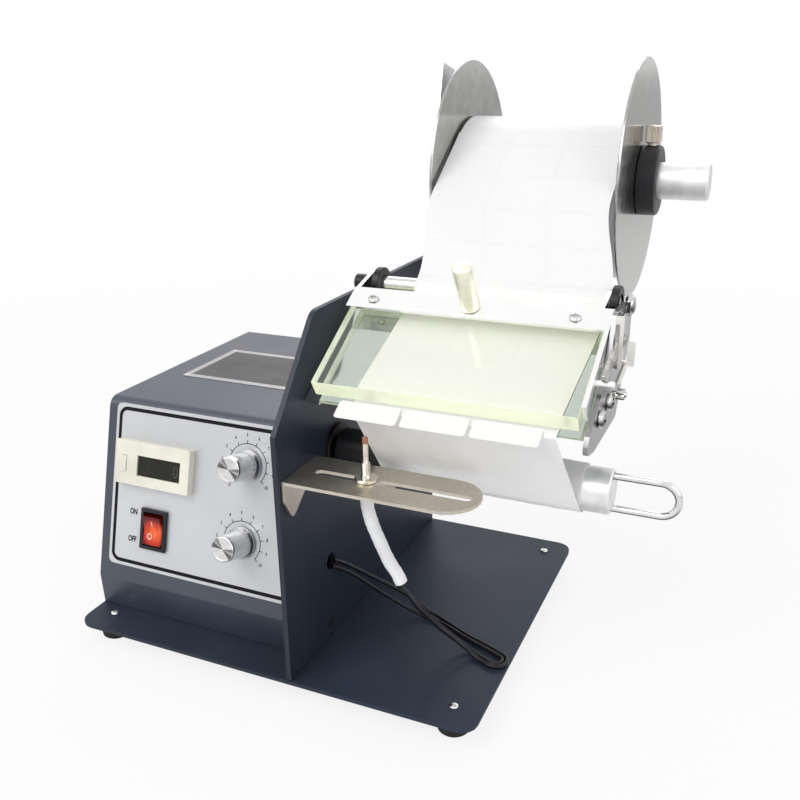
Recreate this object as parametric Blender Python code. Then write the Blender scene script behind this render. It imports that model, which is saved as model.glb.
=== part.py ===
"""Desk label dispenser: a motor peels labels off their backing paper and a light sensor stops it.

Every size is in metres. The station frame, which most pieces are placed in, has its origin where the side
plate's right face meets the front edge and the top of the base: +X is the operator's right, +Y goes to the
back and +Z is up. The model's own origin lies on the desk, under the middle of the whole machine.
"""
import math

import bmesh
import bpy
from mathutils import Vector

# Gaps, cuts and roundness
TOUCH_GAP = 0.0003
CUT_OVERRUN = 0.002
MERGE_DISTANCE = 0.000001
FINE_SIDES = 40
ROUND_SIDES = 28
SMALL_SIDES = 16
ARC_STEPS = 4
ROUTE_STEPS = 24
SMOOTH_ANGLE = math.radians(35)
QUARTER_TURN = math.radians(90)
SCREW_CROWN_SHARE = 0.7
MITRE_SHARE = 0.5

# Label paper, which sets how wide the table, the discs and the shafts are
PAPER_WIDTH = 0.0910
PAPER_THICKNESS = 0.0005
ROLL_X = 0.0179
PAPER_GUIDE_X = 0.0280
PAPER_PEEL_X = 0.0240
PAPER_SHAFT_X = 0.0306

# Base plate, feet and their screws
BASE_LEFT = 0.1295
BASE_RIGHT = 0.0905
BASE_DEPTH = 0.178
BASE_THICKNESS = 0.002
BASE_CORNER = 0.008
FOOT_INSET = 0.0135
FOOT_HEIGHT = 0.009
FOOT_RADIUS = 0.0085
FOOT_SOLE_RADIUS = 0.0075
FOOT_EDGE = 0.001
FOOT_BORE_DEPTH = 0.0065
BASE_SCREW_RADIUS = 0.0015
BASE_SCREW_LENGTH = 0.006
SCREW_HEAD_RADIUS = 0.0029
SCREW_HEAD_HEIGHT = 0.0016

# Side plate that carries everything; its height is with the table's sizes
SIDE_THICKNESS = 0.0025
SIDE_FRONT = 0.0005
SIDE_SHOULDER_Y = 0.0395
SIDE_SHOULDER_RADIUS = 0.009
SIDE_KINK_RADIUS = 0.002
FLANGE_WIDTH = 0.012
FLANGE_THICKNESS = 0.002
FLANGE_FRONT = 0.026
FLANGE_BACK_INSET = 0.008
FLANGE_BACK = BASE_DEPTH - FLANGE_BACK_INSET
CABLE_HOLE_Y = 0.0437
CABLE_HOLE_Z = 0.0414
CABLE_HOLE_RADIUS = 0.0042

# Control case
CASE_LEFT = 0.129
CASE_WALL = 0.0012
CASE_FOOT_Y = 0.0207
CASE_BEND_Y = 0.020
CASE_BEND_Z = 0.0177
CASE_TOP_Y = 0.0454
CASE_HEIGHT = 0.1106
CASE_TOP_RADIUS = 0.006
CASE_BEND_RADIUS = 0.004
CASE_SLOPE_LENGTH = math.hypot(CASE_TOP_Y - CASE_BEND_Y, CASE_HEIGHT - CASE_BEND_Z)

# Face panel on the sloping front
PANEL_LEFT = 0.1229
PANEL_BOTTOM = 0.0084
PANEL_TOP_MARGIN = 0.0019
PANEL_HEIGHT = CASE_SLOPE_LENGTH - PANEL_BOTTOM - PANEL_TOP_MARGIN
PANEL_THICKNESS = 0.0008
PANEL_CORNER = 0.003

# Counter
COUNTER_LEFT = 0.1183
COUNTER_RISE_SHARE = 0.522
COUNTER_BOTTOM = PANEL_BOTTOM + COUNTER_RISE_SHARE * PANEL_HEIGHT
COUNTER_WIDTH = 0.046
COUNTER_HEIGHT = 0.023
COUNTER_PROUD = 0.0044
COUNTER_LIP = 0.0022
COUNTER_BODY_DEPTH = 0.015
COUNTER_EDGE = 0.0008
DISPLAY_LEFT = 0.0117
DISPLAY_BOTTOM = 0.0055
DISPLAY_WIDTH = 0.0259
DISPLAY_HEIGHT = 0.0094
DISPLAY_DEPTH = 0.0011
RESET_LEFT = 0.0040
RESET_BOTTOM = 0.0065
RESET_WIDTH = 0.0030
RESET_HEIGHT = 0.0085
RESET_PROUD = 0.0006
RESET_POCKET_DEPTH = 0.0030
RESET_TRAVEL = 0.0008
RESET_EDGE = 0.0005

# Rocker switch
ROCKER_LEFT = 0.1023
ROCKER_RISE_SHARE = 0.137
ROCKER_BOTTOM = PANEL_BOTTOM + ROCKER_RISE_SHARE * PANEL_HEIGHT
ROCKER_WIDTH = 0.0162
ROCKER_HEIGHT = 0.0217
ROCKER_FRAME = 0.0020
ROCKER_PROUD = 0.0017
ROCKER_BODY_DEPTH = 0.016
ROCKER_LIP = 0.0014
ROCKER_POCKET_DEPTH = 0.0095
ROCKER_EDGE = 0.0005
ROCKER_REST_ANGLE = math.radians(7)
ROCKER_END_CLEARANCE = 0.0012
ROCKER_PIVOT_DEPTH = 0.0020
ROCKER_TIP_HEIGHT = 0.0042
ROCKER_WAIST_HEIGHT = 0.0022
ROCKER_SKIRT = 0.0040

# Dial knobs and the potentiometers behind them
KNOB_X = -0.0412
LENGTH_KNOB_RISE_SHARE = 0.757
SPEED_KNOB_RISE_SHARE = 0.3035
LENGTH_KNOB_UP = PANEL_BOTTOM + LENGTH_KNOB_RISE_SHARE * PANEL_HEIGHT
SPEED_KNOB_UP = PANEL_BOTTOM + SPEED_KNOB_RISE_SHARE * PANEL_HEIGHT
KNOB_HEIGHT = 0.0160
KNOB_FACE_RADIUS = 0.0064
KNOB_BODY_RADIUS = 0.0072
KNOB_SKIRT_RADIUS = 0.0082
KNOB_SKIRT_HEIGHT = 0.0022
KNOB_EDGE = 0.0006
KNOB_BORE_DEPTH = 0.0105
KNOB_STANDOFF = 0.0010
DIAL_SHAFT_RADIUS = 0.0030
DIAL_SHAFT_LENGTH = 0.0100
DIAL_BODY_RADIUS = 0.0080
DIAL_BODY_DEPTH = 0.0090
DIAL_NECK_RADIUS = 0.0036

# Drive inside the case
MOTOR_Y = 0.080
MOTOR_Z = 0.060
MOTOR_RADIUS = 0.021
MOTOR_LENGTH = 0.058
MOTOR_CAP_RADIUS = 0.009
MOTOR_CAP_LENGTH = 0.004
GEARBOX_LENGTH = 0.018
GEARBOX_NOSE_RADIUS = 0.0095
GEARBOX_BODY_RADIUS = 0.0235
GEARBOX_SOCKET_DEPTH = 0.011

# Control board
BOARD_LEFT = 0.122
BOARD_WIDTH = 0.050
BOARD_DEPTH = 0.062
BOARD_REAR_GAP = 0.016
BOARD_FRONT = BASE_DEPTH - BOARD_REAR_GAP - BOARD_DEPTH
BOARD_THICKNESS = 0.0016
BOARD_STANDOFF = 0.006
BOARD_LEG = 0.004
TRANSFORMER_WIDTH = 0.030
TRANSFORMER_DEPTH = 0.026
TRANSFORMER_HEIGHT = 0.024
CAPACITOR_RADIUS = 0.006
CAPACITOR_HEIGHT = 0.016
CAPACITOR_PITCH = 0.018
CAPACITOR_COUNT = 2

# Rear panel and its power inlet
REAR_THICKNESS = 0.0012
INLET_X = -0.050
INLET_Z = 0.028
INLET_FLANGE_WIDTH = 0.034
INLET_FLANGE_HEIGHT = 0.027
INLET_BODY_WIDTH = 0.028
INLET_BODY_HEIGHT = 0.020
INLET_FLANGE_THICKNESS = 0.0025
INLET_DEPTH = 0.020
INLET_POCKET_WIDTH = 0.0235
INLET_POCKET_HEIGHT = 0.0160
INLET_POCKET_DEPTH = 0.0150
INLET_CORNER = 0.003
INLET_PIN_WIDTH = 0.002
INLET_PIN_HEIGHT = 0.004
INLET_PIN_PITCH = 0.007
INLET_PIN_DROP = 0.004
INLET_PIN_LENGTH = 0.0110

# Take-up shaft, its bearing, the wire clip and the wound backing
SHAFT_Y = 0.055
SHAFT_DROP = 0.0009
SHAFT_Z = CASE_HEIGHT - CASE_WALL - SHAFT_DROP - GEARBOX_NOSE_RADIUS
SHAFT_RADIUS = 0.010
SHAFT_START = 0.004
SHAFT_TAIL = 0.0119
SHAFT_END = PAPER_SHAFT_X + PAPER_WIDTH + SHAFT_TAIL
SHAFT_EDGE = 0.0006
JOURNAL_RADIUS = 0.005
JOURNAL_REACH = 0.0125
BEARING_RADIUS = 0.0090
BEARING_FLANGE_RADIUS = 0.0120
BEARING_FLANGE_THICKNESS = 0.0018
CLIP_WIRE_RADIUS = 0.00125
CLIP_HALF_WIDTH = 0.0076
CLIP_LEG_IN = 0.055
CLIP_REACH = 0.0291
CLIP_BORE_CLEARANCE = 0.0003
LINER_THICKNESS = 0.0009

# Peel table, tilted down to the front: x across, y up the slope, z off its face
TABLE_TILT = math.radians(30.8)
PEEL_Y = 0.0256
PEEL_RISE = 0.0223
PEEL_Z = CASE_HEIGHT + PEEL_RISE
TABLE_LENGTH = 0.064
TABLE_THICKNESS = 0.0016
TABLE_FLANGE_FRONT = 0.010
SLOPE_Y = math.cos(TABLE_TILT)
SLOPE_Z = math.sin(TABLE_TILT)

# End bracket and the guide rod's collars, just wider than the paper
GUIDE_ROD_SETBACK = 0.0100
COVER_PIVOT_UP = TABLE_LENGTH + GUIDE_ROD_SETBACK
COVER_PIVOT_OFF = 0.0027
GUIDE_Y = PEEL_Y + COVER_PIVOT_UP * SLOPE_Y - COVER_PIVOT_OFF * SLOPE_Z
GUIDE_Z = PEEL_Z + COVER_PIVOT_UP * SLOPE_Z + COVER_PIVOT_OFF * SLOPE_Y
GUIDE_ROD_DROP = 0.0027
SIDE_HEIGHT = GUIDE_Z - GUIDE_ROD_DROP
SIDE_KINK_DROP = 0.0087
SIDE_KINK_HEIGHT = PEEL_Z - SIDE_KINK_DROP
COLLAR_RADIUS = 0.0080
COLLAR_WIDTH = 0.0036
COLLAR_PLAY = 0.0028
LEFT_COLLAR_X = 0.0086
RIGHT_COLLAR_X = PAPER_GUIDE_X + PAPER_WIDTH + COLLAR_PLAY
BRACKET_PLAY = 0.0010
BRACKET_X = RIGHT_COLLAR_X + COLLAR_WIDTH + BRACKET_PLAY
BRACKET_THICKNESS = 0.0020

# Hinged cover: sheet, clear block, handle and screws
COVER_SHEET = 0.0014
COVER_DEPTH = 0.0128
COVER_SETBACK = 0.0128
COVER_BACK = COVER_PIVOT_UP - COVER_SETBACK
COVER_FRONT = COVER_BACK - COVER_DEPTH
COVER_LEFT = 0.0046
COVER_ARM_THICKNESS = 0.0018
COVER_ARM_X = BRACKET_X - TOUCH_GAP - COVER_ARM_THICKNESS
COVER_ARM_FRONT = 0.0070
COVER_ARM_DEPTH = 0.0080
COVER_EAR_RADIUS = 0.0060
COVER_EAR_ROOT = 0.0027
COVER_EAR_FRONT = COVER_BACK - COVER_EAR_ROOT
COVER_EAR_START = math.radians(-150)
COVER_EAR_GAP = 0.0006
COVER_EAR_RIGHT = RIGHT_COLLAR_X - COVER_EAR_GAP - COVER_ARM_THICKNESS
ACRYLIC_LEFT = 0.006
ACRYLIC_RIGHT_GAP = 0.0005
ACRYLIC_RIGHT = COVER_ARM_X - ACRYLIC_RIGHT_GAP
ACRYLIC_FRONT = 0.0026
ACRYLIC_BACK_INSET = 0.0037
ACRYLIC_BACK = COVER_BACK - ACRYLIC_BACK_INSET
ACRYLIC_OFF = 0.0022
ACRYLIC_THICKNESS = 0.0084
ACRYLIC_EDGE = 0.0006
COVER_PIN_UP = 0.0237
COVER_PIN_OFF = 0.0062
COVER_PIN_RADIUS = 0.0015
COVER_PIN_REACH = 0.0090
HANDLE_ACROSS_SHARE = 0.4924
HANDLE_X = ACRYLIC_LEFT + HANDLE_ACROSS_SHARE * (ACRYLIC_RIGHT - ACRYLIC_LEFT)
HANDLE_INSET = 0.0067
HANDLE_UP = COVER_BACK - HANDLE_INSET
HANDLE_RADIUS = 0.0044
HANDLE_LENGTH = 0.0240
HANDLE_EDGE = 0.0006
COVER_SCREW_LEFT_INSET = 0.0108
COVER_SCREW_RIGHT_INSET = 0.0130
COVER_SCREW_LEFT = ACRYLIC_LEFT + COVER_SCREW_LEFT_INSET
COVER_SCREW_RIGHT = ACRYLIC_RIGHT - COVER_SCREW_RIGHT_INSET
COVER_SCREW_INSET = 0.0072
COVER_SCREW_UP = COVER_BACK - COVER_SCREW_INSET
COVER_SCREW_RADIUS = 0.0014
COVER_SCREW_LENGTH = 0.0050
COVER_SCREW_HEAD = 0.0026
COVER_SCREW_HEAD_HEIGHT = 0.0014
COVER_SCREW_CLEARANCE = 0.0003

# End bracket's outline, its screws, the guide rod and the latch
BRACKET_TIP_Y = 0.0200
BRACKET_TIP_DROP = 0.0044
BRACKET_TIP_Z = PEEL_Z - BRACKET_TIP_DROP
BRACKET_LOW_FRONT_Y = 0.034
BRACKET_LOW_BACK_Y = 0.076
BRACKET_BACK_MARGIN = 0.0107
BRACKET_BACK_DROP = 0.0171
BRACKET_TOP_RISE = 0.0021
BRACKET_TOP_DEPTH = 0.0335
BRACKET_SHOULDER_SHARE = 0.5625
BRACKET_BACK_Y = GUIDE_Y + BRACKET_BACK_MARGIN
BRACKET_BACK_Z = GUIDE_Z - BRACKET_BACK_DROP
BRACKET_TOP_Z = GUIDE_Z + BRACKET_TOP_RISE
BRACKET_TOP_FRONT_Y = BRACKET_BACK_Y - BRACKET_TOP_DEPTH
BRACKET_SHOULDER_UP = BRACKET_SHOULDER_SHARE * TABLE_LENGTH
BRACKET_LOW_DROP = 0.0074
BRACKET_LOW_Z = PEEL_Z - BRACKET_LOW_DROP
BRACKET_TOP_OFF = 0.0032
BRACKET_TIP_RADIUS = 0.0030
BRACKET_SCREW_RADIUS = 0.0015
BRACKET_SCREW_HEAD = 0.0038
BRACKET_SCREW_HEAD_HEIGHT = 0.0024
BRACKET_SCREW_LENGTH = 0.0050
FRONT_SCREW_Y = 0.0405
FRONT_SCREW_RISE = 0.0043
FRONT_SCREW_Z = PEEL_Z + FRONT_SCREW_RISE
REAR_SCREW_Y = 0.0560
REAR_SCREW_RISE = 0.0063
REAR_SCREW_Z = PEEL_Z + REAR_SCREW_RISE
GUIDE_ROD_RADIUS = 0.0040
GUIDE_ROD_TAIL = 0.0015
ACORN_RADIUS = 0.0050
ACORN_LENGTH = 0.0065
LATCH_THICKNESS = 0.0018
LATCH_PIVOT_SETBACK = 0.0198
LATCH_PIVOT_DROP = 0.0101
LATCH_PIVOT_Y = GUIDE_Y - LATCH_PIVOT_SETBACK
LATCH_PIVOT_Z = GUIDE_Z - LATCH_PIVOT_DROP
LATCH_BODY_FRONT = 0.0075
LATCH_BODY_BACK = 0.0070
LATCH_BODY_UP = 0.0105
LATCH_BODY_DOWN = 0.0115
LATCH_CORNER = 0.0030
LATCH_STUD_RADIUS = 0.0015
LATCH_STUD_HEAD_RADIUS = 0.0030
LATCH_NOSE_RADIUS = 0.0020
LATCH_NOSE_GAP = 0.0006
LATCH_ROOT_HALF = 0.0030

# Roll arm, rod, discs and hub
ARM_THICKNESS = 0.0020
ARM_LEAN = math.radians(12.8)
ARM_WIDTH = 0.044
ARM_TOP_OVERHANG = 0.0126
ARM_TOP_FRONT_Y = BASE_DEPTH + ARM_TOP_OVERHANG
ARM_HEIGHT = 0.1613
ARM_OVERLAP = 0.0584
ARM_FOOT_Z = SIDE_HEIGHT - ARM_OVERLAP
ARM_TOP_FRONT_Z = ARM_FOOT_Z + ARM_HEIGHT
ARM_FOOT_INSET = 0.002
ARM_FOOT_WIDTH = 0.030
ARM_FOOT_BACK_Y = BASE_DEPTH - ARM_FOOT_INSET
ARM_FOOT_FRONT_Y = ARM_FOOT_BACK_Y - ARM_FOOT_WIDTH
ARM_WAIST_RISE = 0.0230
ARM_TIE_RISE = 0.0360
ARM_BACK_LOW_RISE = 0.0630
ARM_WAIST_Z = ARM_FOOT_Z + ARM_WAIST_RISE
ARM_TIE_Z = ARM_FOOT_Z + ARM_TIE_RISE
ARM_BACK_LOW_Z = ARM_FOOT_Z + ARM_BACK_LOW_RISE
ARM_HOLE_RADIUS = 0.0030
ARM_HOLE_INSET = 0.0130
ARM_HOLE_DROP = 0.0095
ARM_SCREW_INSET = 0.012
ARM_SCREW_Y = ARM_FOOT_BACK_Y - ARM_SCREW_INSET
ARM_SCREW_RISE = 0.0100
ARM_SCREW_PITCH = 0.0340
ARM_SCREW_LOW_Z = ARM_FOOT_Z + ARM_SCREW_RISE
ARM_SCREW_HIGH_Z = ARM_SCREW_LOW_Z + ARM_SCREW_PITCH
ARM_SCREW_RADIUS = 0.0020
ARM_SCREW_HEAD = 0.0038
ARM_SCREW_HEAD_HEIGHT = 0.0026
ARM_SCREW_TAIL = 0.0015
ROD_SETBACK = 0.021
ROD_Y = BASE_DEPTH + ROD_SETBACK
ROD_RISE = 0.1010
ROD_Z = ARM_FOOT_Z + ROD_RISE
ROD_RADIUS = 0.0095
ROD_EDGE = 0.0007
ROD_SPIGOT_RADIUS = 0.0040
ROD_HEAD_RADIUS = 0.0075
ROD_HEAD_LENGTH = 0.0045
DISC_RADIUS = 0.0615
DISC_THICKNESS = 0.0013
DISC_EDGE = 0.0003
INNER_DISC_X = 0.0152
INNER_HUB_RADIUS = 0.0150
ROLL_PLAY = 0.0011
OUTER_DISC_X = ROLL_X + PAPER_WIDTH + ROLL_PLAY
ROD_OVERRUN = 0.0364
ROD_END = OUTER_DISC_X + ROD_OVERRUN
HUB_RADIUS = 0.0180
HUB_WIDTH = 0.0096
HUB_EDGE = 0.0010
BORE_CLEARANCE = 0.0003
THUMB_SHANK_RADIUS = 0.0022
THUMB_HEAD_RADIUS = 0.0042
THUMB_HEAD_HEIGHT = 0.0098
THUMB_NECK_HEIGHT = 0.0008
THUMB_EDGE = 0.0005

# Label roll, its core and the paper that runs to the take-up shaft
ROLL_RADIUS = 0.0422
CORE_RADIUS = 0.0220
CORE_WALL = 0.0020
PAPER_DIP_SETBACK = 0.0055
PAPER_DIP_UP = TABLE_LENGTH - PAPER_DIP_SETBACK
LABEL_LEFT = 0.0185
LABEL_SPACE = 0.0018
LABEL_COUNT = 3
LABEL_WIDTH = (PAPER_WIDTH - (LABEL_COUNT - 1) * LABEL_SPACE) / LABEL_COUNT
LABEL_OVERHANG = 0.0075
LABEL_TAIL = 0.0020
LABEL_THICKNESS = 0.0004
LABEL_CORNER = 0.0015
LABEL_SLIT = 0.0055

# Sensor bracket, sensor and its leads
SENSOR_PLATE_DROP = 0.0299
SENSOR_PLATE_Z = PEEL_Z - SENSOR_PLATE_DROP
SENSOR_PLATE_THICKNESS = 0.0015
SENSOR_PLATE_FRONT = 0.0025
SENSOR_PLATE_WIDTH = 0.0310
SENSOR_PLATE_REACH = 0.0865
SENSOR_SLOT_START = 0.0090
SENSOR_SLOT_END = 0.0830
SENSOR_SLOT_HALF = 0.0024
SENSOR_TAB_TIP_Y = 0.0084
SENSOR_TAB_DROP = 0.0205
SENSOR_TAB_RADIUS = 0.0025
SENSOR_BACK_TAB_X = 0.0360
SENSOR_BACK_TAB_HALF = 0.0085
SENSOR_X = 0.0340
SENSOR_BARREL_RADIUS = 0.0020
SENSOR_TIP_RADIUS = 0.0013
SENSOR_TIP_HEIGHT = 0.0205
SENSOR_SHOULDER_HEIGHT = 0.0085
SENSOR_NUT_RADIUS = 0.0052
SENSOR_NUT_HEIGHT = 0.0026
SENSOR_FLANGE_RADIUS = 0.0038
SENSOR_FLANGE_HEIGHT = 0.0030
SENSOR_STUB = 0.0012
SLEEVE_RADIUS = 0.0030
LEAD_RADIUS = 0.0010
# Routes in the station frame, chosen by hand
SLEEVE_ROUTE = [
    (0.0340, 0.0180, 0.0959),
    (0.0343, 0.0180, 0.0900),
    (0.0362, 0.0184, 0.0820),
    (0.0393, 0.0191, 0.0735),
    (0.0430, 0.0202, 0.0640),
    (0.0467, 0.0216, 0.0573),
    (0.0473, 0.0220, 0.0530),
]
LEFT_LEAD_ROUTE = [
    (0.0461, 0.0223, 0.0523),
    (0.0464, 0.0228, 0.0500),
    (0.0486, 0.0254, 0.0465),
    (0.0503, 0.0312, 0.0370),
    (0.0517, 0.0395, 0.0260),
    (0.0543, 0.0478, 0.0140),
    (0.0600, 0.0530, 0.0050),
    (0.0690, 0.0533, 0.0015),
    (0.0770, 0.0514, 0.0014),
    (0.0832, 0.0508, 0.0014),
    (0.0866, 0.0535, 0.0014),
    (0.0858, 0.0570, 0.0014),
    (0.0815, 0.0589, 0.0014),
    (0.0740, 0.0613, 0.0014),
    (0.0650, 0.0649, 0.0014),
    (0.0540, 0.0705, 0.0014),
    (0.0440, 0.0738, 0.0016),
    (0.0350, 0.0742, 0.0035),
    (0.0268, 0.0722, 0.0085),
    (0.0200, 0.0680, 0.0150),
    (0.0140, 0.0622, 0.0220),
    (0.0090, 0.0560, 0.0290),
    (0.0052, 0.0502, 0.0355),
    (0.0024, 0.0466, 0.0398),
    (0.0009, 0.0457, 0.0410),
]
RIGHT_LEAD_ROUTE = [
    (0.0484, 0.0217, 0.0523),
    (0.0488, 0.0219, 0.0500),
    (0.0507, 0.0233, 0.0467),
    (0.0529, 0.0286, 0.0368),
    (0.0549, 0.0366, 0.0256),
    (0.0580, 0.0442, 0.0136),
    (0.0638, 0.0489, 0.0048),
    (0.0720, 0.0490, 0.0015),
    (0.0790, 0.0471, 0.0014),
    (0.0850, 0.0468, 0.0014),
    (0.0886, 0.0500, 0.0014),
    (0.0893, 0.0550, 0.0014),
    (0.0868, 0.0592, 0.0014),
    (0.0815, 0.0617, 0.0014),
    (0.0740, 0.0641, 0.0014),
    (0.0660, 0.0674, 0.0014),
    (0.0555, 0.0729, 0.0014),
    (0.0445, 0.0765, 0.0016),
    (0.0345, 0.0771, 0.0032),
    (0.0255, 0.0748, 0.0078),
    (0.0182, 0.0702, 0.0140),
    (0.0120, 0.0640, 0.0208),
    (0.0070, 0.0572, 0.0276),
    (0.0035, 0.0508, 0.0338),
    (0.0016, 0.0457, 0.0378),
    (0.0009, 0.0433, 0.0390),
]
ROUTE_POINTS = 44
SLEEVE_POINTS = 12

# Places worked out from the sizes above
CASE_TOP_SLOPE = math.atan2(CASE_TOP_Y - CASE_BEND_Y, CASE_HEIGHT - CASE_BEND_Z)
BASE_TOP = FOOT_HEIGHT + BASE_THICKNESS + TOUCH_GAP
RIGHT_REACH = SHAFT_END + CLIP_REACH
STATION_X = (BASE_LEFT - RIGHT_REACH) / 2
STATION_Y = -(ROD_Y + DISC_RADIUS) / 2
ROLL_Z = ROD_Z + ROD_RADIUS + TOUCH_GAP - (CORE_RADIUS - CORE_WALL)
PANEL_FACE = TOUCH_GAP + PANEL_THICKNESS
BEARING_BORE = JOURNAL_RADIUS + BORE_CLEARANCE


def clear_scene():
    """Empty the scene of the objects it opens with."""
    for item in list(bpy.data.objects):
        bpy.data.objects.remove(item, do_unlink=True)


def finish(name, colour, roughness, metallic=0.0, transmission=0.0):
    """A Principled BSDF material with a sub-part's plain colour."""
    material = bpy.data.materials.new(name)
    material.use_nodes = True
    shader = material.node_tree.nodes["Principled BSDF"]
    shader.inputs["Base Color"].default_value = (*colour, 1)
    shader.inputs["Roughness"].default_value = roughness
    shader.inputs["Metallic"].default_value = metallic
    shader.inputs["Transmission Weight"].default_value = transmission
    return material


def add_frame(name, parent, location, tilt=0.0):
    """An empty that carries pieces, turned about X."""
    frame = bpy.data.objects.new(name, None)
    bpy.context.scene.collection.objects.link(frame)
    frame.parent = parent
    frame.location = location
    frame.rotation_euler = (tilt, 0, 0)
    return frame


def add_object(name, shape, parent, location=(0, 0, 0), rotation=(0, 0, 0), look=None):
    """Turn a bmesh into an object with its own material."""
    bmesh.ops.remove_doubles(shape, verts=shape.verts, dist=MERGE_DISTANCE)
    bmesh.ops.recalc_face_normals(shape, faces=shape.faces)
    mesh = bpy.data.meshes.new(name)
    shape.to_mesh(mesh)
    shape.free()
    mesh.shade_smooth()
    mesh.set_sharp_from_angle(angle=SMOOTH_ANGLE)
    item = bpy.data.objects.new(name, mesh)
    bpy.context.scene.collection.objects.link(item)
    item.parent = parent
    item.location = location
    item.rotation_euler = rotation
    if look is not None:
        mesh.materials.append(finish(name, *look))
    return item


def combine(target, tools, operation, carrier=None):
    """Join or cut a solid with hidden tools, placed as the solid is or in a carrier's own frame."""
    for number, shape in enumerate(tools):
        name = f"{target.name}_{operation.lower()}_{number}"
        if carrier is None:
            tool = add_object(name, shape, target.parent, target.location, target.rotation_euler)
        else:
            tool = add_object(name, shape, carrier)
        tool.hide_render = True
        tool.display_type = "WIRE"
        step = target.modifiers.new(tool.name, "BOOLEAN")
        step.operation = operation
        step.solver = "EXACT"
        step.object = tool


def cut(target, *tools, carrier=None):
    """Take shapes away from a solid."""
    combine(target, tools, "DIFFERENCE", carrier)


def join(target, *tools, carrier=None):
    """Unite shapes with a solid."""
    combine(target, tools, "UNION", carrier)


def soften(item, width, segments=2):
    """Round a solid's sharp edges."""
    edge = item.modifiers.new("edge", "BEVEL")
    edge.width = width
    edge.segments = segments
    edge.limit_method = "ANGLE"
    edge.angle_limit = SMOOTH_ANGLE


def rounded_outline(corners):
    """Outline from (a, b, radius) corners, with an arc where the radius isn't zero."""
    outline = []
    count = len(corners)
    for index, (a, b, radius) in enumerate(corners):
        here = Vector((a, b))
        if radius == 0:
            outline.append(here)
            continue
        before = Vector(corners[index - 1][:2]) - here
        after = Vector(corners[(index + 1) % count][:2]) - here
        before.normalize()
        after.normalize()
        half = before.angle(after) / 2
        setback = radius / math.tan(half)
        centre = here + (before + after).normalized() * (radius / math.sin(half))
        start = here + before * setback - centre
        sweep = start.angle_signed(here + after * setback - centre)
        for step in range(ARC_STEPS + 1):
            turn = -sweep * step / ARC_STEPS
            spin = Vector((
                start.x * math.cos(turn) - start.y * math.sin(turn),
                start.x * math.sin(turn) + start.y * math.cos(turn),
            ))
            outline.append(centre + spin)
    return outline


def rectangle(a_low, b_low, a_high, b_high, radius=0.0):
    """Outline of a rectangle with equal corners."""
    return rounded_outline([
        (a_low, b_low, radius),
        (a_high, b_low, radius),
        (a_high, b_high, radius),
        (a_low, b_high, radius),
    ])


def arc(centre_a, centre_b, radius, start, end, steps):
    """Points along an arc, both ends included."""
    points = []
    for step in range(steps + 1):
        turn = start + (end - start) * step / steps
        points.append(Vector((centre_a + radius * math.cos(turn), centre_b + radius * math.sin(turn))))
    return points


def along_axis(axis, a, b, depth):
    """A point from outline values and a depth along an axis."""
    if axis == "X":
        return (depth, a, b)
    if axis == "Y":
        return (a, depth, b)
    return (a, b, depth)


def prism(outline, low, high, axis="X", shape=None):
    """Extrude an outline along an axis: (y, z) for X, (x, z) for Y and (x, y) for Z."""
    shape = shape or bmesh.new()
    verts = [shape.verts.new(along_axis(axis, a, b, low)) for a, b in outline]
    face = shape.faces.new(verts)
    grown = bmesh.ops.extrude_face_region(shape, geom=[face])
    moved = [part for part in grown["geom"] if isinstance(part, bmesh.types.BMVert)]
    bmesh.ops.translate(shape, verts=moved, vec=Vector(along_axis(axis, 0, 0, high - low)))
    return shape


def block(x_low, x_high, y_low, y_high, z_low, z_high, shape=None):
    """A plain box between two corners."""
    return prism(rectangle(x_low, y_low, x_high, y_high), z_low, z_high, "Z", shape)


def turned(profile, sides, axis="Z", centre=(0, 0, 0), ring=False):
    """Spin a profile of (radius, height) points about an axis; a ring's profile closes on itself."""
    shape = bmesh.new()
    verts = [shape.verts.new((radius, 0, height)) for radius, height in profile]
    pairs = list(zip(verts, verts[1:]))
    if ring:
        pairs.append((verts[-1], verts[0]))
    edges = [shape.edges.new(pair) for pair in pairs]
    bmesh.ops.spin(
        shape,
        geom=verts + edges,
        cent=(0, 0, 0),
        axis=(0, 0, 1),
        angle=2 * math.pi,
        steps=sides,
        use_merge=True,
    )
    bmesh.ops.remove_doubles(shape, verts=shape.verts, dist=MERGE_DISTANCE)
    for vert in shape.verts:
        x, y, z = vert.co
        if axis == "X":
            vert.co = (z, x, y)
        elif axis == "Y":
            vert.co = (y, z, x)
        vert.co += Vector(centre)
    return shape


def pole(radius, low, high, sides, axis="Z", centre=(0, 0, 0)):
    """A plain round bar between two heights on its axis."""
    return turned([(0, low), (radius, low), (radius, high), (0, high)], sides, axis, centre)


def smooth_route(points, count):
    """Even points on a smooth curve through a route's own points."""
    places = [Vector(point) for point in points]
    places = [2 * places[0] - places[1], *places, 2 * places[-1] - places[-2]]
    fine = []
    for index in range(1, len(places) - 2):
        p0, p1, p2, p3 = places[index - 1:index + 3]
        for step in range(ROUTE_STEPS):
            t = step / ROUTE_STEPS
            fine.append(0.5 * (
                2 * p1
                + (p2 - p0) * t
                + (2 * p0 - 5 * p1 + 4 * p2 - p3) * t**2
                + (3 * p1 - p0 - 3 * p2 + p3) * t**3
            ))
    fine.append(places[-2])
    travelled = [0.0]
    for before, after in zip(fine, fine[1:]):
        travelled.append(travelled[-1] + (after - before).length)
    even = []
    index = 0
    for number in range(count):
        goal = travelled[-1] * number / (count - 1)
        while index < len(fine) - 2 and travelled[index + 1] < goal:
            index += 1
        share = (goal - travelled[index]) / (travelled[index + 1] - travelled[index])
        even.append(fine[index].lerp(fine[index + 1], min(max(share, 0), 1)))
    return even


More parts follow.
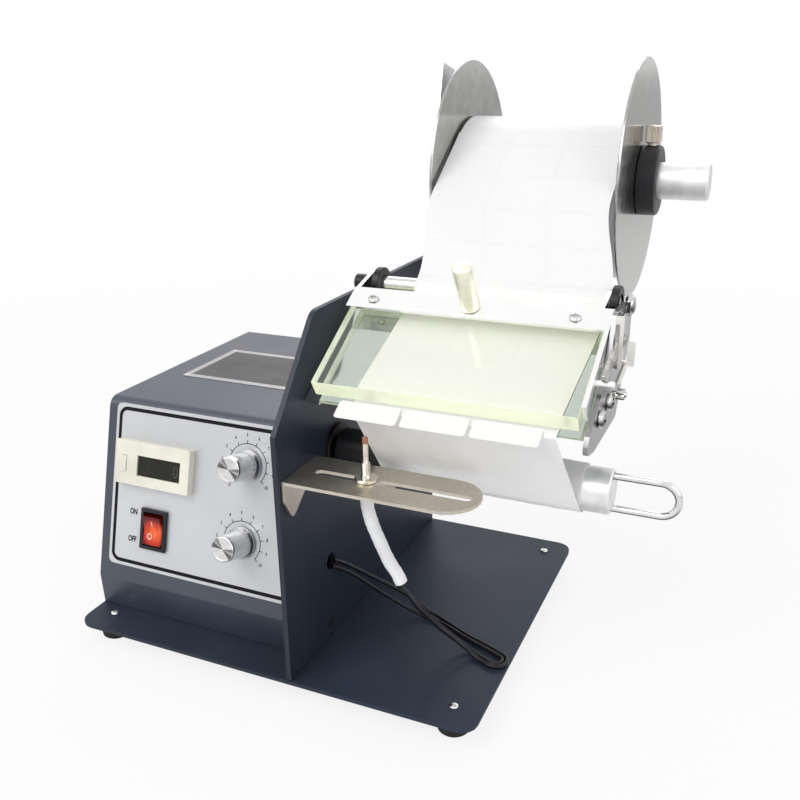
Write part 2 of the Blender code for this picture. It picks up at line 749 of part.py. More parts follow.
def add_tube(name, points, radius, parent, location, look, bevel_resolution=2):
    """A round wire or cord along points, with filled ends."""
    curve = bpy.data.curves.new(name, "CURVE")
    curve.dimensions = "3D"
    curve.bevel_depth = radius
    curve.bevel_resolution = bevel_resolution
    curve.use_fill_caps = True
    spline = curve.splines.new("POLY")
    spline.points.add(len(points) - 1)
    for place, point in zip(spline.points, points):
        place.co = (*point, 1)
    tube = bpy.data.objects.new(name, curve)
    bpy.context.scene.collection.objects.link(tube)
    tube.parent = parent
    tube.location = location
    curve.materials.append(finish(name, *look))
    return tube


STEEL = ((0.62, 0.62, 0.61), 0.22, 1.0)
NICKEL = ((0.60, 0.56, 0.50), 0.28, 1.0)
ALUMINIUM = ((0.80, 0.81, 0.82), 0.32, 1.0)
PAINT = ((0.055, 0.065, 0.085), 0.38, 0.0)
RUBBER = ((0.02, 0.02, 0.02), 0.8, 0.0)
BLACK_PLASTIC = ((0.025, 0.025, 0.028), 0.4, 0.0)
PAPER = ((0.90, 0.90, 0.89), 0.6, 0.0)
WHITE_PLASTIC = ((0.88, 0.89, 0.90), 0.5, 0.0)
LEAD_JACKET = ((0.015, 0.015, 0.017), 0.45, 0.0)


def screw_profile(shank, length, head, head_height):
    """Pan-head screw that points down, with its head's seat at zero."""
    return [
        (0, -length),
        (shank, -length),
        (shank, 0),
        (head, 0),
        (head, head_height / 2),
        (head * SCREW_CROWN_SHARE, head_height),
        (0, head_height),
    ]


def make_base(station):
    """Base plate on four screwed rubber feet."""
    outline = rectangle(-BASE_LEFT, 0, BASE_RIGHT, BASE_DEPTH, BASE_CORNER)
    plate = add_object(
        "base_plate",
        prism(outline, -BASE_THICKNESS, 0, "Z"),
        station,
        look=PAINT,
    )
    spots = {
        "front_left": (-BASE_LEFT + FOOT_INSET, FOOT_INSET),
        "front_right": (BASE_RIGHT - FOOT_INSET, FOOT_INSET),
        "rear_left": (-BASE_LEFT + FOOT_INSET, BASE_DEPTH - FOOT_INSET),
        "rear_right": (BASE_RIGHT - FOOT_INSET, BASE_DEPTH - FOOT_INSET),
    }
    bore = BASE_SCREW_RADIUS + BORE_CLEARANCE
    foot_top = -BASE_THICKNESS - TOUCH_GAP
    foot_profile = [
        (0, -FOOT_HEIGHT),
        (FOOT_SOLE_RADIUS - FOOT_EDGE, -FOOT_HEIGHT),
        (FOOT_SOLE_RADIUS, FOOT_EDGE - FOOT_HEIGHT),
        (FOOT_RADIUS, 0),
        (bore, 0),
        (bore, -FOOT_BORE_DEPTH),
        (0, -FOOT_BORE_DEPTH),
    ]
    screw = screw_profile(BASE_SCREW_RADIUS, BASE_SCREW_LENGTH, SCREW_HEAD_RADIUS, SCREW_HEAD_HEIGHT)
    for place, (x, y) in spots.items():
        hole = pole(bore, -BASE_THICKNESS - CUT_OVERRUN, CUT_OVERRUN, SMALL_SIDES, "Z", (x, y, 0))
        cut(plate, hole)
        add_object(f"foot_{place}", turned(foot_profile, ROUND_SIDES), station, (x, y, foot_top), look=RUBBER)
        add_object(f"foot_screw_{place}", turned(screw, SMALL_SIDES), station, (x, y, TOUCH_GAP), look=STEEL)


def make_side_plate(station):
    """Upright plate with a foot flange, and holes for all that it carries."""
    outline = rounded_outline([
        (SIDE_FRONT, TOUCH_GAP, 0),
        (SIDE_FRONT, SIDE_KINK_HEIGHT, SIDE_KINK_RADIUS),
        (SIDE_SHOULDER_Y, SIDE_HEIGHT, SIDE_SHOULDER_RADIUS),
        (BASE_DEPTH, SIDE_HEIGHT, SIDE_KINK_RADIUS),
        (BASE_DEPTH, TOUCH_GAP, 0),
    ])
    plate = add_object("side_plate", prism(outline, -SIDE_THICKNESS, 0), station, look=PAINT)
    flange = block(
        -SIDE_THICKNESS - FLANGE_WIDTH,
        -SIDE_THICKNESS / 2,
        FLANGE_FRONT,
        FLANGE_BACK,
        TOUCH_GAP,
        TOUCH_GAP + FLANGE_THICKNESS,
    )
    join(plate, flange)
    guide_y, guide_z = on_table(COVER_PIVOT_UP, COVER_PIVOT_OFF)
    holes = [
        (BEARING_RADIUS + BORE_CLEARANCE, SHAFT_Y, SHAFT_Z, ROUND_SIDES),
        (CABLE_HOLE_RADIUS, CABLE_HOLE_Y, CABLE_HOLE_Z, SMALL_SIDES),
        (GUIDE_ROD_RADIUS + BORE_CLEARANCE, guide_y, guide_z, SMALL_SIDES),
        (ARM_SCREW_RADIUS + BORE_CLEARANCE, ARM_SCREW_Y, ARM_SCREW_LOW_Z, SMALL_SIDES),
        (ARM_SCREW_RADIUS + BORE_CLEARANCE, ARM_SCREW_Y, ARM_SCREW_HIGH_Z, SMALL_SIDES),
    ]
    for radius, y, z, sides in holes:
        reach = SIDE_THICKNESS + CUT_OVERRUN
        cut(plate, pole(radius, -reach, CUT_OVERRUN, sides, "X", (0, y, z)))


def case_path(inset):
    """The case's section from front foot to back, moved inwards by a wall."""
    bend_shift = inset * math.tan(CASE_TOP_SLOPE / 2)
    top_shift = inset * math.tan((QUARTER_TURN - CASE_TOP_SLOPE) / 2)
    return {
        "foot": CASE_FOOT_Y + inset,
        "bend": (CASE_BEND_Y + inset, CASE_BEND_Z - bend_shift),
        "top": (CASE_TOP_Y + top_shift, CASE_HEIGHT - inset),
    }


def case_outline(inset, bottom, back):
    """Closed outline of the case's section."""
    path = case_path(inset)
    return rounded_outline([
        (path["foot"], bottom, 0),
        (*path["bend"], CASE_BEND_RADIUS),
        (*path["top"], CASE_TOP_RADIUS - inset),
        (back, path["top"][1], 0),
        (back, bottom, 0),
    ])


def make_case(station, panel):
    """Folded cover, open at the bottom and back, and the rear panel that closes it."""
    right = -SIDE_THICKNESS - TOUCH_GAP
    cover = add_object(
        "case_cover",
        prism(case_outline(0, TOUCH_GAP, BASE_DEPTH), -CASE_LEFT, right),
        station,
        look=PAINT,
    )
    inside = prism(
        case_outline(CASE_WALL, -CUT_OVERRUN, BASE_DEPTH + CUT_OVERRUN),
        -CASE_LEFT + CASE_WALL,
        right + CUT_OVERRUN,
    )
    cut(cover, inside)
    cut(cover, *panel_cutters(-CASE_WALL - CUT_OVERRUN, CUT_OVERRUN), carrier=panel)
    rear = add_object(
        "rear_panel",
        block(
            -CASE_LEFT + CASE_WALL + TOUCH_GAP,
            right,
            BASE_DEPTH - REAR_THICKNESS,
            BASE_DEPTH,
            TOUCH_GAP,
            CASE_HEIGHT - CASE_WALL - TOUCH_GAP,
        ),
        station,
        look=PAINT,
    )
    half_width = INLET_BODY_WIDTH / 2 + TOUCH_GAP
    half_height = INLET_BODY_HEIGHT / 2 + TOUCH_GAP
    window = block(
        INLET_X - half_width,
        INLET_X + half_width,
        BASE_DEPTH - REAR_THICKNESS - CUT_OVERRUN,
        BASE_DEPTH + CUT_OVERRUN,
        INLET_Z - half_height,
        INLET_Z + half_height,
    )
    cut(rear, window)


def panel_cutters(low, high):
    """Windows for the counter, the rocker and the two dial shafts, through the sloping wall."""
    counter = block(
        -COUNTER_LEFT + COUNTER_LIP - TOUCH_GAP,
        -COUNTER_LEFT + COUNTER_WIDTH - COUNTER_LIP + TOUCH_GAP,
        COUNTER_BOTTOM + COUNTER_LIP - TOUCH_GAP,
        COUNTER_BOTTOM + COUNTER_HEIGHT - COUNTER_LIP + TOUCH_GAP,
        low,
        high,
    )
    rocker = block(
        -ROCKER_LEFT + ROCKER_LIP - TOUCH_GAP,
        -ROCKER_LEFT + ROCKER_WIDTH - ROCKER_LIP + TOUCH_GAP,
        ROCKER_BOTTOM + ROCKER_LIP - TOUCH_GAP,
        ROCKER_BOTTOM + ROCKER_HEIGHT - ROCKER_LIP + TOUCH_GAP,
        low,
        high,
    )
    dials = [
        pole(DIAL_NECK_RADIUS + BORE_CLEARANCE, low, high, SMALL_SIDES, "Z", (KNOB_X, up, 0))
        for up in (LENGTH_KNOB_UP, SPEED_KNOB_UP)
    ]
    return [counter, rocker, *dials]


def make_face_panel(panel):
    """Thin printed plate on the sloping front."""
    right = -SIDE_THICKNESS - TOUCH_GAP
    outline = rounded_outline([
        (-PANEL_LEFT, PANEL_BOTTOM, PANEL_CORNER),
        (right, PANEL_BOTTOM, 0),
        (right, PANEL_BOTTOM + PANEL_HEIGHT, 0),
        (-PANEL_LEFT, PANEL_BOTTOM + PANEL_HEIGHT, PANEL_CORNER),
    ])
    plate = add_object(
        "face_panel",
        prism(outline, TOUCH_GAP, PANEL_FACE, "Z"),
        panel,
        look=((0.66, 0.67, 0.69), 0.4, 0.6),
    )
    cut(plate, *panel_cutters(TOUCH_GAP - CUT_OVERRUN, PANEL_FACE + CUT_OVERRUN))


def make_counter(panel):
    """Counter module with a sunk display and a reset button."""
    seat = PANEL_FACE + TOUCH_GAP
    front = seat + COUNTER_PROUD
    right = -COUNTER_LEFT + COUNTER_WIDTH
    top = COUNTER_BOTTOM + COUNTER_HEIGHT
    housing = add_object(
        "counter_housing",
        block(-COUNTER_LEFT, right, COUNTER_BOTTOM, top, seat, front),
        panel,
        look=((0.80, 0.79, 0.70), 0.45, 0.0),
    )
    soften(housing, COUNTER_EDGE)
    body = block(
        -COUNTER_LEFT + COUNTER_LIP,
        right - COUNTER_LIP,
        COUNTER_BOTTOM + COUNTER_LIP,
        top - COUNTER_LIP,
        -COUNTER_BODY_DEPTH,
        seat + CUT_OVERRUN,
    )
    join(housing, body)
    display_x = -COUNTER_LEFT + DISPLAY_LEFT
    display_up = COUNTER_BOTTOM + DISPLAY_BOTTOM
    display = block(
        display_x,
        display_x + DISPLAY_WIDTH,
        display_up,
        display_up + DISPLAY_HEIGHT,
        front - DISPLAY_DEPTH,
        front + CUT_OVERRUN,
    )
    button_x = -COUNTER_LEFT + RESET_LEFT
    button_up = COUNTER_BOTTOM + RESET_BOTTOM
    pocket = block(
        button_x - TOUCH_GAP,
        button_x + RESET_WIDTH + TOUCH_GAP,
        button_up - TOUCH_GAP,
        button_up + RESET_HEIGHT + TOUCH_GAP,
        front - RESET_POCKET_DEPTH,
        front + CUT_OVERRUN,
    )
    cut(housing, display, pocket)
    button_base = front - RESET_POCKET_DEPTH + RESET_TRAVEL + TOUCH_GAP
    button = add_object(
        "reset_button",
        block(0, RESET_WIDTH, 0, RESET_HEIGHT, 0, front + RESET_PROUD - button_base),
        panel,
        (button_x, button_up, button_base),
        look=((0.76, 0.75, 0.67), 0.5, 0.0),
    )
    soften(button, RESET_EDGE)


def make_rocker(panel):
    """Rocker switch: a framed body and the button that tips in it."""
    seat = PANEL_FACE + TOUCH_GAP
    front = seat + ROCKER_PROUD
    right = -ROCKER_LEFT + ROCKER_WIDTH
    top = ROCKER_BOTTOM + ROCKER_HEIGHT
    bezel = add_object(
        "rocker_bezel",
        block(-ROCKER_LEFT, right, ROCKER_BOTTOM, top, seat, front),
        panel,
        look=BLACK_PLASTIC,
    )
    soften(bezel, ROCKER_EDGE)
    body = block(
        -ROCKER_LEFT + ROCKER_LIP,
        right - ROCKER_LIP,
        ROCKER_BOTTOM + ROCKER_LIP,
        top - ROCKER_LIP,
        -ROCKER_BODY_DEPTH,
        seat + CUT_OVERRUN / 2,
    )
    join(bezel, body)
    pocket = block(
        -ROCKER_LEFT + ROCKER_FRAME,
        right - ROCKER_FRAME,
        ROCKER_BOTTOM + ROCKER_FRAME,
        top - ROCKER_FRAME,
        front - ROCKER_POCKET_DEPTH,
        front + CUT_OVERRUN,
    )
    cut(bezel, pocket)
    half = ROCKER_HEIGHT / 2 - ROCKER_FRAME - ROCKER_END_CLEARANCE
    outline = [
        Vector((-half, -ROCKER_SKIRT)),
        Vector((half, -ROCKER_SKIRT)),
        Vector((half, ROCKER_TIP_HEIGHT)),
        Vector((0, ROCKER_WAIST_HEIGHT)),
        Vector((-half, ROCKER_TIP_HEIGHT)),
    ]
    half_width = ROCKER_WIDTH / 2 - ROCKER_FRAME - TOUCH_GAP
    button = add_object(
        "rocker_button",
        prism(outline, -half_width, half_width),
        panel,
        (-ROCKER_LEFT + ROCKER_WIDTH / 2, ROCKER_BOTTOM + ROCKER_HEIGHT / 2, front - ROCKER_PIVOT_DEPTH),
        (ROCKER_REST_ANGLE, 0, 0),
        look=((0.80, 0.08, 0.03), 0.25, 0.0),
    )
    soften(button, ROCKER_EDGE)


def make_dials(panel):
    """Two knobs on the shafts of the potentiometers behind the wall."""
    neck_low = -CASE_WALL - TOUCH_GAP
    knob_low = PANEL_FACE + KNOB_STANDOFF
    bore = DIAL_SHAFT_RADIUS + BORE_CLEARANCE
    shaft_top = knob_low + DIAL_SHAFT_LENGTH
    knob = [
        (0, KNOB_BORE_DEPTH),
        (bore, KNOB_BORE_DEPTH),
        (bore, 0),
        (KNOB_SKIRT_RADIUS, 0),
        (KNOB_SKIRT_RADIUS, KNOB_SKIRT_HEIGHT - KNOB_EDGE),
        (KNOB_BODY_RADIUS, KNOB_SKIRT_HEIGHT),
        (KNOB_FACE_RADIUS, KNOB_HEIGHT - KNOB_EDGE),
        (KNOB_FACE_RADIUS - KNOB_EDGE, KNOB_HEIGHT),
        (0, KNOB_HEIGHT),
    ]
    body = [
        (0, neck_low - DIAL_BODY_DEPTH),
        (DIAL_BODY_RADIUS, neck_low - DIAL_BODY_DEPTH),
        (DIAL_BODY_RADIUS, neck_low),
        (DIAL_NECK_RADIUS, neck_low),
        (DIAL_NECK_RADIUS, PANEL_FACE),
        (DIAL_SHAFT_RADIUS, PANEL_FACE),
        (DIAL_SHAFT_RADIUS, shaft_top),
        (0, shaft_top),
    ]
    for name, up in (("length", LENGTH_KNOB_UP), ("speed", SPEED_KNOB_UP)):
        add_object(f"{name}_knob", turned(knob, FINE_SIDES), panel, (KNOB_X, up, knob_low), look=ALUMINIUM)
        add_object(
            f"{name}_potentiometer",
            turned(body, ROUND_SIDES),
            panel,
            (KNOB_X, up, 0),
            look=((0.45, 0.46, 0.47), 0.4, 0.8),
        )


def make_drive(station):
    """Motor and offset gearbox on the side plate's inner face."""
    gearbox_right = -SIDE_THICKNESS - TOUCH_GAP
    reach = Vector((MOTOR_Y - SHAFT_Y, MOTOR_Z - SHAFT_Z))
    heading = math.atan2(reach.y, reach.x)
    spread = math.acos((GEARBOX_NOSE_RADIUS - GEARBOX_BODY_RADIUS) / reach.length)
    nose = arc(
        SHAFT_Y, SHAFT_Z, GEARBOX_NOSE_RADIUS, heading + spread, heading + 2 * math.pi - spread, SMALL_SIDES
    )
    body = arc(MOTOR_Y, MOTOR_Z, GEARBOX_BODY_RADIUS, heading - spread, heading + spread, ROUND_SIDES)
    gearbox = add_object(
        "gearbox",
        prism([*nose, *body], gearbox_right - GEARBOX_LENGTH, gearbox_right),
        station,
        look=((0.42, 0.43, 0.45), 0.4, 0.9),
    )
    socket = pole(
        BEARING_BORE,
        gearbox_right - GEARBOX_SOCKET_DEPTH,
        gearbox_right + CUT_OVERRUN,
        SMALL_SIDES,
        "X",
        (0, SHAFT_Y, SHAFT_Z),
    )
    cut(gearbox, socket)
    motor_right = gearbox_right - GEARBOX_LENGTH - TOUCH_GAP
    motor_left = motor_right - MOTOR_LENGTH
    motor = [
        (0, motor_left - MOTOR_CAP_LENGTH),
        (MOTOR_CAP_RADIUS, motor_left - MOTOR_CAP_LENGTH),
        (MOTOR_CAP_RADIUS, motor_left),
        (MOTOR_RADIUS, motor_left),
        (MOTOR_RADIUS, motor_right),
        (0, motor_right),
    ]
    add_object(
        "drive_motor",
        turned(motor, ROUND_SIDES, "X"),
        station,
        (0, MOTOR_Y, MOTOR_Z),
        look=((0.36, 0.37, 0.38), 0.35, 1.0),
    )


def make_board(station):
    """Control board on four legs, with its transformer and capacitors."""
    low = TOUCH_GAP + BOARD_STANDOFF
    top = low + BOARD_THICKNESS
    right = -BOARD_LEFT + BOARD_WIDTH
    back = BOARD_FRONT + BOARD_DEPTH
    board = add_object(
        "control_board",
        block(-BOARD_LEFT, right, BOARD_FRONT, back, low, top),
        station,
        look=((0.05, 0.20, 0.08), 0.5, 0.0),
    )
    sunk = BOARD_THICKNESS / 2
    for x in (-BOARD_LEFT + BOARD_LEG, right - 2 * BOARD_LEG):
        for y in (BOARD_FRONT + BOARD_LEG, back - 2 * BOARD_LEG):
            join(board, block(x, x + BOARD_LEG, y, y + BOARD_LEG, TOUCH_GAP, low + sunk))
    start_x = -BOARD_LEFT + BOARD_LEG
    start_y = BOARD_FRONT + BOARD_LEG
    join(board, block(
        start_x,
        start_x + TRANSFORMER_WIDTH,
        start_y,
        start_y + TRANSFORMER_DEPTH,
        top - sunk,
        top + TRANSFORMER_HEIGHT,
    ))
    for number in range(CAPACITOR_COUNT):
        x = start_x + CAPACITOR_RADIUS + number * CAPACITOR_PITCH
        y = start_y + TRANSFORMER_DEPTH + 2 * CAPACITOR_RADIUS
        join(board, pole(CAPACITOR_RADIUS, top - sunk, top + CAPACITOR_HEIGHT, SMALL_SIDES, "Z", (x, y, 0)))


def make_inlet(station):
    """Mains inlet in the rear panel, with three blades in its socket."""
    face = BASE_DEPTH + TOUCH_GAP
    outer = face + INLET_FLANGE_THICKNESS
    half_flange = INLET_FLANGE_WIDTH / 2
    flange = rectangle(
        INLET_X - half_flange,
        INLET_Z - INLET_FLANGE_HEIGHT / 2,
        INLET_X + half_flange,
        INLET_Z + INLET_FLANGE_HEIGHT / 2,
        INLET_CORNER,
    )
    inlet = add_object("power_inlet", prism(flange, face, outer, "Y"), station, look=BLACK_PLASTIC)
    body = rectangle(
        INLET_X - INLET_BODY_WIDTH / 2,
        INLET_Z - INLET_BODY_HEIGHT / 2,
        INLET_X + INLET_BODY_WIDTH / 2,
        INLET_Z + INLET_BODY_HEIGHT / 2,
    )
    join(inlet, prism(body, outer - INLET_DEPTH, face + INLET_FLANGE_THICKNESS / 2, "Y"))
    pocket = rectangle(
        INLET_X - INLET_POCKET_WIDTH / 2,
        INLET_Z - INLET_POCKET_HEIGHT / 2,
        INLET_X + INLET_POCKET_WIDTH / 2,
        INLET_Z + INLET_POCKET_HEIGHT / 2,
        INLET_CORNER,
    )
    floor = outer - INLET_POCKET_DEPTH
    cut(inlet, prism(pocket, floor, outer + CUT_OVERRUN, "Y"))
    for number in (-1, 0, 1):
        x = INLET_X + number * INLET_PIN_PITCH
        drop = INLET_PIN_DROP if number else INLET_PIN_DROP / 2
        z = INLET_Z - drop
        blade = rectangle(
            x - INLET_PIN_WIDTH / 2,
            z - INLET_PIN_HEIGHT / 2,
            x + INLET_PIN_WIDTH / 2,
            z + INLET_PIN_HEIGHT / 2,
        )
        join(inlet, prism(blade, floor - CUT_OVERRUN / 2, floor + INLET_PIN_LENGTH, "Y"))


def make_take_up(station):
    """Take-up shaft in its bearing, the turns of backing on it and the wire clip."""
    place = (0, SHAFT_Y, SHAFT_Z)
    leg_bore = CLIP_WIRE_RADIUS + CLIP_BORE_CLEARANCE
    shaft = add_object(
        "take_up_shaft",
        turned(
            [
                (0, -JOURNAL_REACH),
                (JOURNAL_RADIUS, -JOURNAL_REACH),
                (JOURNAL_RADIUS, SHAFT_START),
                (SHAFT_RADIUS, SHAFT_START),
                (SHAFT_RADIUS, SHAFT_END - SHAFT_EDGE),
                (SHAFT_RADIUS - SHAFT_EDGE, SHAFT_END),
                (0, SHAFT_END),
            ],
            FINE_SIDES,
            "X",
        ),
        station,
        place,
        look=ALUMINIUM,
    )
    bore_start = SHAFT_END - CLIP_LEG_IN - CUT_OVERRUN
    for side in (-1, 1):
        centre = (0, 0, side * CLIP_HALF_WIDTH)
        cut(shaft, pole(leg_bore, bore_start, SHAFT_END + CUT_OVERRUN, SMALL_SIDES, "X", centre))
    add_object(
        "shaft_bearing",
        turned(
            [
                (BEARING_BORE, -SIDE_THICKNESS),
                (BEARING_RADIUS, -SIDE_THICKNESS),
                (BEARING_RADIUS, TOUCH_GAP),
                (BEARING_FLANGE_RADIUS, TOUCH_GAP),
                (BEARING_FLANGE_RADIUS, TOUCH_GAP + BEARING_FLANGE_THICKNESS),
                (BEARING_BORE, TOUCH_GAP + BEARING_FLANGE_THICKNESS),
            ],
            ROUND_SIDES,
            "X",
            ring=True,
        ),
        station,
        place,
        look=((0.55, 0.47, 0.28), 0.35, 1.0),
    )
    liner_low = SHAFT_RADIUS + TOUCH_GAP
    add_object(
        "wound_backing",
        turned(
            [
                (liner_low, PAPER_SHAFT_X),
                (liner_low + LINER_THICKNESS, PAPER_SHAFT_X),
                (liner_low + LINER_THICKNESS, PAPER_SHAFT_X + PAPER_WIDTH),
                (liner_low, PAPER_SHAFT_X + PAPER_WIDTH),
            ],
            FINE_SIDES,
            "X",
            ring=True,
        ),
        station,
        place,
        look=PAPER,
    )
    end = SHAFT_END + CLIP_REACH - CLIP_WIRE_RADIUS - CLIP_HALF_WIDTH
    bend = arc(end, 0, CLIP_HALF_WIDTH, -QUARTER_TURN, QUARTER_TURN, SMALL_SIDES)
    leg_end = SHAFT_END - CLIP_LEG_IN
    points = [(leg_end, 0, -CLIP_HALF_WIDTH)]
    points += [(x, 0, z) for x, z in bend]
    points.append((leg_end, 0, CLIP_HALF_WIDTH))
    add_tube("wire_clip", points, CLIP_WIRE_RADIUS, station, place, STEEL)


def table_flange(bottom_front, bottom_back):
    """Outline of a table cheek in the station's (y, z), from the peel edge back and down to level."""
    under = TABLE_THICKNESS / 2
    start_y = PEEL_Y + TABLE_FLANGE_FRONT * SLOPE_Y + under * SLOPE_Z
    start_z = PEEL_Z + TABLE_FLANGE_FRONT * SLOPE_Z - under * SLOPE_Y
    end_y = PEEL_Y + TABLE_LENGTH * SLOPE_Y + under * SLOPE_Z
    end_z = PEEL_Z + TABLE_LENGTH * SLOPE_Z - under * SLOPE_Y
    return [
        Vector((start_y, start_z)),
        Vector((end_y, end_z)),
        Vector((end_y, bottom_back)),
        Vector((bottom_front, bottom_back)),
    ]


def make_table(station, table):
    """Steel peel table: a tilted plate with a cheek at each end."""
    plate = add_object(
        "peel_table",
        prism(
            [
                Vector((0, 0)),
                Vector((TABLE_LENGTH, 0)),
                Vector((TABLE_LENGTH, -TABLE_THICKNESS)),
                Vector((TABLE_THICKNESS, -TABLE_THICKNESS)),
            ],
            TOUCH_GAP,
            BRACKET_X - TOUCH_GAP,
        ),
        table,
        look=STEEL,
    )
    cheek = table_flange(PEEL_Y + TABLE_FLANGE_FRONT, BRACKET_LOW_Z + BRACKET_THICKNESS)
    right_low = BRACKET_X - TOUCH_GAP - BRACKET_THICKNESS
    for x_low in (TOUCH_GAP, right_low):
        join(plate, prism(cheek, x_low, x_low + BRACKET_THICKNESS), carrier=station)
    bore = BRACKET_SCREW_RADIUS + BORE_CLEARANCE
    hole_low = right_low - CUT_OVERRUN
    hole_high = BRACKET_X + CUT_OVERRUN
    for y, z in bracket_screws():
        cut(plate, pole(bore, hole_low, hole_high, SMALL_SIDES, "X", (0, y, z)), carrier=station)


def bracket_screws():
    """Places of the two pan-head screws that hold the end bracket."""
    return [(FRONT_SCREW_Y, FRONT_SCREW_Z), (REAR_SCREW_Y, REAR_SCREW_Z)]


def on_table(up, off):
    """A place on the tilted table in the station's (y, z)."""
    return PEEL_Y + up * SLOPE_Y - off * SLOPE_Z, PEEL_Z + up * SLOPE_Z + off * SLOPE_Y


def make_end_bracket(station):
    """End bracket with its screws, the guide rod, its dome nut and the paper collars."""
    guide_y, guide_z = on_table(COVER_PIVOT_UP, COVER_PIVOT_OFF)
    outline = rounded_outline([
        (BRACKET_TIP_Y, BRACKET_TIP_Z, BRACKET_TIP_RADIUS),
        (BRACKET_LOW_FRONT_Y, BRACKET_LOW_Z, 0),
        (BRACKET_LOW_BACK_Y, BRACKET_LOW_Z, BRACKET_TIP_RADIUS),
        (BRACKET_BACK_Y, BRACKET_BACK_Z, BRACKET_TIP_RADIUS),
        (BRACKET_BACK_Y, BRACKET_TOP_Z, BRACKET_TIP_RADIUS),
        (BRACKET_TOP_FRONT_Y, BRACKET_TOP_Z, BRACKET_TIP_RADIUS),
        (*on_table(BRACKET_SHOULDER_UP, BRACKET_TOP_OFF), BRACKET_TIP_RADIUS),
        (*on_table(0, BRACKET_TOP_OFF), BRACKET_TIP_RADIUS),
    ])
    bracket = add_object(
        "end_bracket",
        prism(outline, BRACKET_X, BRACKET_X + BRACKET_THICKNESS),
        station,
        look=STEEL,
    )
    low = BRACKET_X - CUT_OVERRUN
    high = BRACKET_X + BRACKET_THICKNESS + CUT_OVERRUN
    guide_hole = pole(GUIDE_ROD_RADIUS + BORE_CLEARANCE, low, high, SMALL_SIDES, "X", (0, guide_y, guide_z))
    cut(bracket, guide_hole)
    holes = [*bracket_screws(), (LATCH_PIVOT_Y, LATCH_PIVOT_Z)]
    for y, z in holes:
        cut(bracket, pole(BRACKET_SCREW_RADIUS + BORE_CLEARANCE, low, high, SMALL_SIDES, "X", (0, y, z)))
    screw = screw_profile(
        BRACKET_SCREW_RADIUS, BRACKET_SCREW_LENGTH, BRACKET_SCREW_HEAD, BRACKET_SCREW_HEAD_HEIGHT
    )
    face = BRACKET_X + BRACKET_THICKNESS
    for number, (y, z) in enumerate(bracket_screws()):
        name = ("bracket_screw_front", "bracket_screw_rear")[number]
        add_object(name, turned(screw, SMALL_SIDES, "X"), station, (face + TOUCH_GAP, y, z), look=STEEL)
    rod = [
        (0, -SIDE_THICKNESS - GUIDE_ROD_TAIL),
        (GUIDE_ROD_RADIUS, -SIDE_THICKNESS - GUIDE_ROD_TAIL),
        (GUIDE_ROD_RADIUS, face),
        (0, face),
    ]
    add_object("guide_rod", turned(rod, ROUND_SIDES, "X"), station, (0, guide_y, guide_z), look=STEEL)
    dome = arc(0, ACORN_LENGTH - ACORN_RADIUS, ACORN_RADIUS, 0, QUARTER_TURN, ARC_STEPS)
    acorn = [(0, 0), (ACORN_RADIUS, 0), *dome]
    add_object(
        "guide_rod_nut",
        turned(acorn, SMALL_SIDES, "X"),
        station,
        (face + TOUCH_GAP, guide_y, guide_z),
        look=STEEL,
    )
    bore = GUIDE_ROD_RADIUS + BORE_CLEARANCE
    collar = [
        (bore, 0),
        (COLLAR_RADIUS, 0),
        (COLLAR_RADIUS, COLLAR_WIDTH),
        (bore, COLLAR_WIDTH),
    ]
    for name, x in (("left_collar", LEFT_COLLAR_X), ("right_collar", RIGHT_COLLAR_X)):
        add_object(
            name,
            turned(collar, ROUND_SIDES, "X", ring=True),
            station,
            (x, guide_y, guide_z),
            look=BLACK_PLASTIC,
        )


